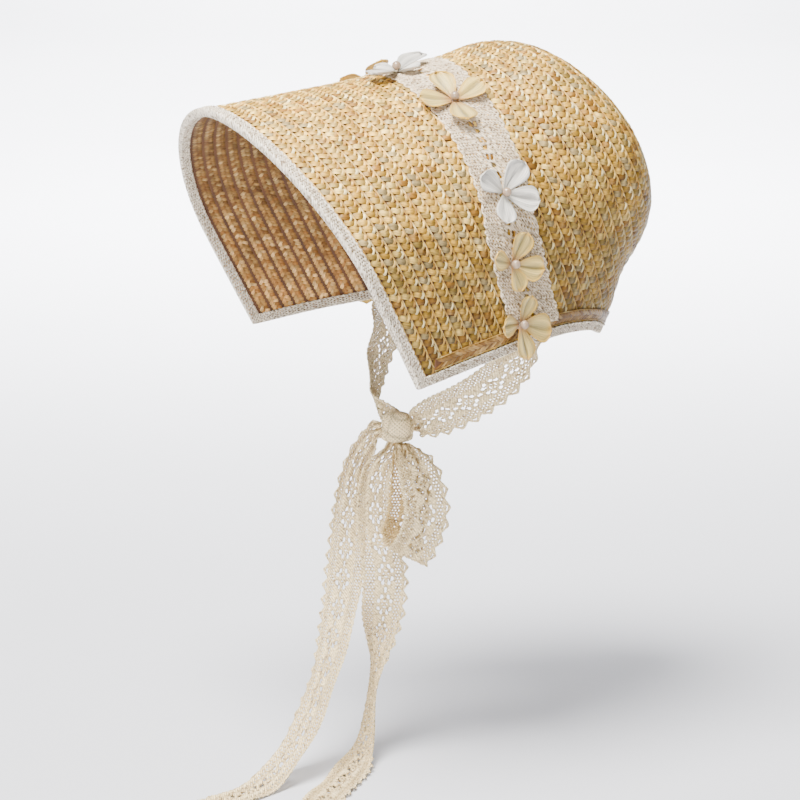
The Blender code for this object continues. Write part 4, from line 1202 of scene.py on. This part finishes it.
def hem_plait(name, material, seed):
    """One braid over the row ends, from corner to corner round the nape: its strands and edge cords, and the
    places on which its core is laid.
    """
    rows, angles, headings, corner = edge_samples(2.0)
    rows, angles, headings = rows[corner:], angles[corner:], headings[corner:]
    keep = rows >= 1.0
    rows, angles, headings = rows[keep], angles[keep], headings[keep]
    widths = np.linspace(-0.4, ROW_WIDTH, 8)
    table, normals = [], []
    for width in widths:
        here_rows, here_angles = walk(rows, angles, headings, HEM_INSET + width * HEM_SQUEEZE)
        point, _, _, normal = straw_frame(here_rows, here_angles)
        table.append(np.concatenate([point, point[::-1][1:] * MIRROR]))
        normals.append(np.concatenate([normal, normal[::-1][1:] * MIRROR]))
    table, normals = np.array(table), np.array(normals)
    travelled = travel(table[3])

    def place(s, w):
        column = np.interp(s, travelled, np.arange(len(travelled)))
        line = np.interp(w, widths, np.arange(len(widths)))
        c0, l0 = np.floor(column).astype(int), np.floor(line).astype(int)
        c1, l1 = np.minimum(c0 + 1, len(travelled) - 1), np.minimum(l0 + 1, len(widths) - 1)
        c, l = (column - c0)[..., None], (line - l0)[..., None]
        out = []
        for values in (table, normals):
            out.append((values[l0, c0] * (1 - c) + values[l0, c1] * c) * (1 - l)
                       + (values[l1, c0] * (1 - c) + values[l1, c1] * c) * l)
        return out[0], unit(out[1]), 0.0 * s + 1.0

    random = np.random.default_rng(seed)
    store = new_store()
    length = float(travelled[-1])
    count = int(round(length / HEM_PITCH))
    steps = np.arange(count) * (length - HEM_END_GAP) / count
    for start, rise, sink in zip(HEM_STARTS, (sin(HEM_LEAN), -sin(HEM_LEAN)), HEM_SINKS):
        starts = np.stack([steps + HEM_SLIP * start, np.full(count, start)], axis=-1)
        tints = pick_tints(HEM_TINTS, count, random)
        add_strands(store, place, starts, HEM_STRAND, HEM_GRID, tints, (cos(HEM_LEAN), rise), random,
                    sink=sink)
    for edge in HEM_CORDS:
        add_cord(store, place, length, edge, HEM_CORD_RADIUS, CORD_TINTS, random)
    return finish_store(name, store, material), table, normals


def hem_core(name, table, normals, material):
    """Flat closed strip under the strands of the hem braid."""
    lines, places = table.shape[:2]
    top = table + normals * HEM_CORE_TOP
    under = table + normals * HEM_CORE_UNDER
    ring = np.concatenate([top, under[::-1]])
    count = len(ring)
    k, i = np.meshgrid(np.arange(count), np.arange(places - 1), indexing="ij")
    following = (k + 1) % count
    faces = np.stack([k * places + i, k * places + i + 1, following * places + i + 1,
                      following * places + i], axis=-1).reshape(-1, 4)
    ends = []
    for line in range(lines - 1):
        for place in (0, places - 1):
            other = count - 1 - line
            ends.append([line * places + place, (line + 1) * places + place,
                         (other - 1) * places + place, other * places + place])
    made = new_mesh(name, ring.reshape(-1, 3), np.concatenate([faces, np.array(ends)]), material)
    weld_mesh(made)
    return made


def flower_height(row, angle):
    """Height of the flower's underside: over the band, or over the raised foot of the band."""
    share = angle / float(foot_angle(row))
    top = BAND_HIGH if abs(share) + 0.07 > BAND_RAMP[0] else BAND_LOW
    return top + BAND_THICKNESS + FLOWER_SEAT


PETAL_TINTS = {
    "yellow": (srgb(178, 108, 22), srgb(218, 190, 106), srgb(234, 182, 54)),
    "white": (srgb(190, 182, 164), srgb(232, 226, 214), srgb(224, 218, 206)),
}


def petal_points(turn, length, random):
    """One petal in the flower's own frame: direction, height; with creases and a curled rim."""
    along = np.linspace(0.0, 1.0, PETAL_GRID[0])
    across = np.linspace(-1.0, 1.0, PETAL_GRID[1])
    u, v = np.meshgrid(along, across, indexing="ij")
    width = 0.15 + 0.85 * np.sin(pi * 0.62 * u) ** 1.1
    closing = np.sqrt(np.clip(1.0 - np.clip((u - 0.62) / 0.38, 0.0, 1.0) ** 2.4, 0.0, 1.0))
    half = PETAL_WIDTH * length / 2 * width * closing * random.uniform(0.92, 1.06)
    reach = 1.4 + (length - 1.4) * u * (1.0 - 0.05 * v**2)
    crease = random.uniform(-0.15, 0.15)
    cup = random.uniform(0.9, 2.2)
    curl = random.uniform(-1.6, 1.4)
    height = 0.5 + PETAL_RISE * reach * 0.8
    height = height + cup * v**2 * np.sin(pi * np.clip(u, 0, 1) * 0.8)
    valley = np.exp(-((v - crease) / 0.16) ** 2) * np.sin(pi * u) ** 0.8
    pleat = np.sin(PLEAT_TURNS * v + random.uniform(0, 6)) * u
    height = height - 1.4 * valley + 0.65 * pleat
    ruffle = 0.6 + 0.4 * np.sin(3.0 * v + random.uniform(0, 6))
    height = height + curl * np.clip(u - 0.6, 0.0, 1.0) * 2.0 * ruffle
    side = half * v * (1.0 - 0.05 * cup * v**2)
    skew = random.uniform(-0.12, 0.12) * reach * u
    lean, stand = cos(radians(turn)), sin(radians(turn))
    local = np.stack([reach * lean - (side + skew) * stand, reach * stand + (side + skew) * lean,
                      height], axis=-1)
    # Painted light and shade: darker along the middle crease, lighter and darker over the pleats.
    shade = (0.96 - 0.46 * valley + 0.26 * pleat) * random.uniform(0.84, 1.04)
    return local, u, v, shade


def flower(name, row, angle, colour, petals, mirror, material, seed):
    """Four satin petals round a middle, joined as one piece."""
    random = np.random.default_rng(seed)
    middle, by_row, _, normal = straw_frame(row, angle)
    back_way = unit(by_row)
    hem_way = unit(np.cross(back_way, normal))
    base = flower_height(row, angle)
    base_tint, middle_tint, rim_tint = (np.array(tint) for tint in PETAL_TINTS[colour])
    pieces = []
    for number, (petal, length) in enumerate(petals):
        local, u, v, shade = petal_points(petal, length, random)
        local[..., 2] += 0.5 * (number % 2)
        points = middle + hem_way * local[..., :1] + back_way * local[..., 1:2]
        points = points + normal * (base + local[..., 2:])
        if mirror:
            points = (points * MIRROR)[:, ::-1]
            v, shade = v[:, ::-1], shade[:, ::-1]
        rim = np.clip(np.maximum(np.abs(v) ** 4, (u - 0.8) / 0.2), 0.0, 1.0)[..., None]
        root = np.clip(1.0 - u / 0.42, 0.0, 1.0)[..., None] ** 1.3
        tint = middle_tint * (1 - rim) + rim_tint * rim
        tint = (tint * (1 - root) + base_tint * root) * shade[..., None]
        weave = np.stack([u * 20.0, v * 9.0, 0.0 * u + number * 30.0], axis=-1)
        pieces.append(thin_shell(f"{name}_petal_{number}", points, PETAL_THICKNESS, None, material,
                                 weave=weave, tints=tint))
    made = join_pieces(name + "_cloth", pieces)
    pearl_place = middle + normal * (base + 1.6 + PEARL_RADIUS)
    if mirror:
        pearl_place = pearl_place * MIRROR
    return made, pearl_place


def join_pieces(name, pieces):
    """One object from several; the first one's mesh takes in the others."""
    with bpy.context.temp_override(active_object=pieces[0], selected_editable_objects=pieces):
        bpy.ops.object.join()
    pieces[0].name = name
    pieces[0].data.name = name
    return pieces[0]


def pearl(name, place, material):
    mesh = bpy.data.meshes.new(name)
    work = bmesh.new()
    bmesh.ops.create_uvsphere(work, u_segments=24, v_segments=14, radius=PEARL_RADIUS * MM)
    bmesh.ops.translate(work, verts=work.verts, vec=Vector([float(value) * MM for value in place]))
    work.to_mesh(mesh)
    work.free()
    mesh.materials.append(material)
    mesh.shade_smooth()
    return add_object(name, mesh)


# Camera of the photograph: it looks from the +X side, turned towards the face opening, a little from above.
VIEW_TURN = radians(27.0)
VIEW_RISE = radians(12.0)
VIEW_DISTANCE = 2000.0
VIEW_RIGHT = 10.0
VIEW_DOWN = 224.8
LENS_MM = 130.5
SENSOR_MM = 36.0
FLOOR_HEIGHT = -480.2
FLOOR_HALF = 30.0
SURROUND = (0.93, 0.94, 1.0, 1.0)
SURROUND_STRENGTH = 0.22
# Lights on the object: shares towards the camera, to its right and up; metres away, size, watts and colour.
OBJECT_LIGHTS = (
    ("key", 0.34, -0.24, 0.90, 2.4, 1.3, 255.0, (1.0, 0.985, 0.96)),
    ("fill", 0.92, -0.20, 0.16, 2.2, 1.2, 33.0, (0.97, 0.98, 1.0)),
)
LIGHT_TARGET_HEIGHT = -0.15
FLOOR_LIGHT_HEIGHT = 2.2
# Lights over the floor round the object: metres towards the camera and to its right, size, spread and watts.
FLOOR_LIGHTS = (
    (-2.3, 0.0, 1.6, 75.0, 120.0), (-4.2, 0.0, 4.0, 110.0, 560.0), (-8.2, 0.0, 4.0, 110.0, 560.0),
    (5.2, 0.0, 4.0, 110.0, 260.0), (9.0, 0.0, 4.0, 110.0, 560.0),
    (0.0, 4.8, 4.0, 110.0, 260.0), (0.0, 8.8, 4.0, 110.0, 560.0),
    (0.0, -4.8, 4.0, 110.0, 260.0), (0.0, -8.8, 4.0, 110.0, 560.0),
)


def add_camera():
    back = Vector((cos(VIEW_RISE) * cos(VIEW_TURN), -cos(VIEW_RISE) * sin(VIEW_TURN), sin(VIEW_RISE)))
    right = Vector((sin(VIEW_TURN), cos(VIEW_TURN), 0.0))
    up = back.cross(right)
    data = bpy.data.cameras.new("camera")
    data.lens = LENS_MM
    data.sensor_width = SENSOR_MM
    data.clip_start = 0.05
    data.clip_end = 50.0
    camera = add_object("camera", data)
    turn = Matrix((right, up, back)).transposed().to_4x4()
    spot = (back * VIEW_DISTANCE - right * VIEW_RIGHT - up * VIEW_DOWN) * MM
    camera.matrix_world = Matrix.Translation(spot) @ turn
    bpy.context.scene.camera = camera
    return back, right


def add_area_light(name, spot, target, size, power, colour=(1.0, 1.0, 1.0)):
    data = bpy.data.lights.new(name, "AREA")
    data.shape = "DISK"
    data.size = size
    data.energy = power
    data.color = colour
    light = add_object(name, data)
    light.location = spot
    light.rotation_euler = (Vector(target) - Vector(spot)).to_track_quat("-Z", "Y").to_euler()
    return light


def add_studio(back, right):
    """Pale floor, soft lights and an even pale surround."""
    floor_material = plain_material("floor_paper", srgb(214, 215, 221), 0.9, 40.0, 0.02, spread=0.01)
    square = [(x * FLOOR_HALF, y * FLOOR_HALF, 0.0) for x, y in ((-1, -1), (1, -1), (1, 1), (-1, 1))]
    mesh = bpy.data.meshes.new("floor")
    mesh.from_pydata(square, [], [(0, 1, 2, 3)])
    mesh.materials.append(floor_material)
    floor = add_object("floor", mesh)
    floor.location.z = FLOOR_HEIGHT * MM
    target = Vector((0.0, 0.0, LIGHT_TARGET_HEIGHT))
    level_back = Vector((back.x, back.y, 0.0)).normalized()
    high = Vector((0.0, 0.0, 1.0))
    for name, forward, aside, rise, away, size, power, colour in OBJECT_LIGHTS:
        spot = target + (level_back * forward + right * aside + high * rise) * away
        add_area_light(name, spot, target, size, power, colour)
    for number, (forward, aside, size, spread, power) in enumerate(FLOOR_LIGHTS):
        spot = level_back * forward + right * aside + high * FLOOR_LIGHT_HEIGHT
        backdrop = add_area_light(f"backdrop_{number}", spot, (spot.x, spot.y, -1.0), size, power)
        backdrop.data.spread = radians(spread)
    world = bpy.data.worlds.new("surround")
    world.use_nodes = True
    background = world.node_tree.nodes["Background"]
    background.inputs["Color"].default_value = SURROUND
    background.inputs["Strength"].default_value = SURROUND_STRENGTH
    bpy.context.scene.world = world


def ride(piece, slot, *nodes):
    """Each piece rides on the one body and takes the place of its solids; the slot is not used."""
    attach(piece, "root")
    if nodes:
        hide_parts(*nodes)


def add_straw():
    straw = straw_material("straw_strands", 0.33, 0.6)
    inside = straw_material("straw_inside", 0.5, 0.5)
    # The dark core shows only in the gaps between strands and rows: its dark brown is painted shade.
    painted_shade_core = plain_material("straw_core_painted_shade", srgb(84, 50, 20), 0.7, 700.0, 0.4, spread=0.25)
    ride(straw_base("straw_base", painted_shade_core), "straw", "brim", "crown")
    ride(plaited_rows("brim_plait", 0, SEAM_ROW, straw, seed=11), "straw")
    ride(plaited_rows("crown_plait", SEAM_ROW, int(LAST_ROW), straw, seed=12), "straw")
    ride(inside_rows("brim_inside", 0, SEAM_ROW, inside, seed=13), "straw")
    ride(inside_rows("crown_inside", SEAM_ROW, int(LAST_ROW) - 1, inside, seed=14), "straw")
    strands, table, normals = hem_plait("hem_strands", straw, seed=15)
    ride(strands, "straw_hem")
    # The hem core shows dark between the hem strands: painted shade, as under the plait.
    ride(hem_core("hem_core", table, normals, painted_shade_core), "straw_hem", "hem_braid")


def add_lace():
    cotton = lace_material("lace_cotton", srgb(255, 240, 194), srgb(214, 180, 124), thread=2.2)
    pale = lace_material("band_cotton", srgb(255, 242, 216), srgb(216, 186, 144))
    net = lace_material("binding_cotton", srgb(255, 248, 232), srgb(208, 186, 154))
    band, length, width = lace_band("band_lace", pale)
    ride(band, "lace_band", "lace_band")
    edge, length, width = binding("binding_lace", net)
    ride(edge, "lace", "edge_binding")
    side_face = bow_point(KNOT_MIDDLE[0] + KNOT_SIZE[0] / 2 + KNOT_GAP, KNOT_MIDDLE[1], KNOT_FACE_HEIGHT)
    back_face = bow_point(KNOT_MIDDLE[0], KNOT_MIDDLE[1] - KNOT_SIZE[1] / 2 - KNOT_GAP, KNOT_FACE_HEIGHT)
    upright = np.array([0.0, 0.0, -1.0])
    side_way, back_way = bow_point(1.0, 0.0, 0.0), bow_point(0.0, -1.0, 0.0)
    strips = (
        ("chin_tie_near", chin_strap("strap_near_lace", 1.0, side_face, side_way, upright, cotton, 21)),
        ("chin_tie_far", chin_strap("strap_far_lace", -1.0, back_face, back_way, upright, cotton, 22)),
        ("bow_loop", bow_ribbon("loop_lace", LOOP_TABLE, cotton, 23, flip=True, shade_tone=LOOP_PAINTED_SHADE)),
        ("tail_near", bow_ribbon("tail_near_lace", TAIL_NEAR_TABLE, cotton, 24, flip=True)),
        ("tail_front", bow_ribbon("tail_front_lace", TAIL_FRONT_TABLE, cotton, 25)),
    )
    for solid, (piece, length) in strips:
        ride(piece, "lace", solid)
    ride(knot_wrap("knot_lace", cotton), "lace", "bow_knot")


def add_flowers():
    stuff = {"yellow": petal_material("petal_gold"), "white": petal_material("petal_white")}
    shine = plain_material("pearl_skin", srgb(152, 128, 104), 0.08, 90.0, 0.01, spread=0.06)
    shine.node_tree.nodes["Principled BSDF"].inputs["Coat Weight"].default_value = 0.6
    lines = [(line, False) for line in FLOWER_TABLE]
    lines += [((name, *FLOWER_TABLE[source][1:]), True) for name, source in MIRRORED_FLOWERS]
    for seed, ((name, row, angle, colour, petals), mirror) in enumerate(lines, start=31):
        made, place = flower(name, row, angle, colour, petals, mirror, stuff[colour], seed)
        ride(made, "flower_" + colour, name)
        number = name.split("_")[1]
        ride(pearl("bead_" + number, place, shine), "pearl", "pearl_" + number)


def main():
    add_studio(*add_camera())
    add_straw()
    add_lace()
    add_flowers()


main()
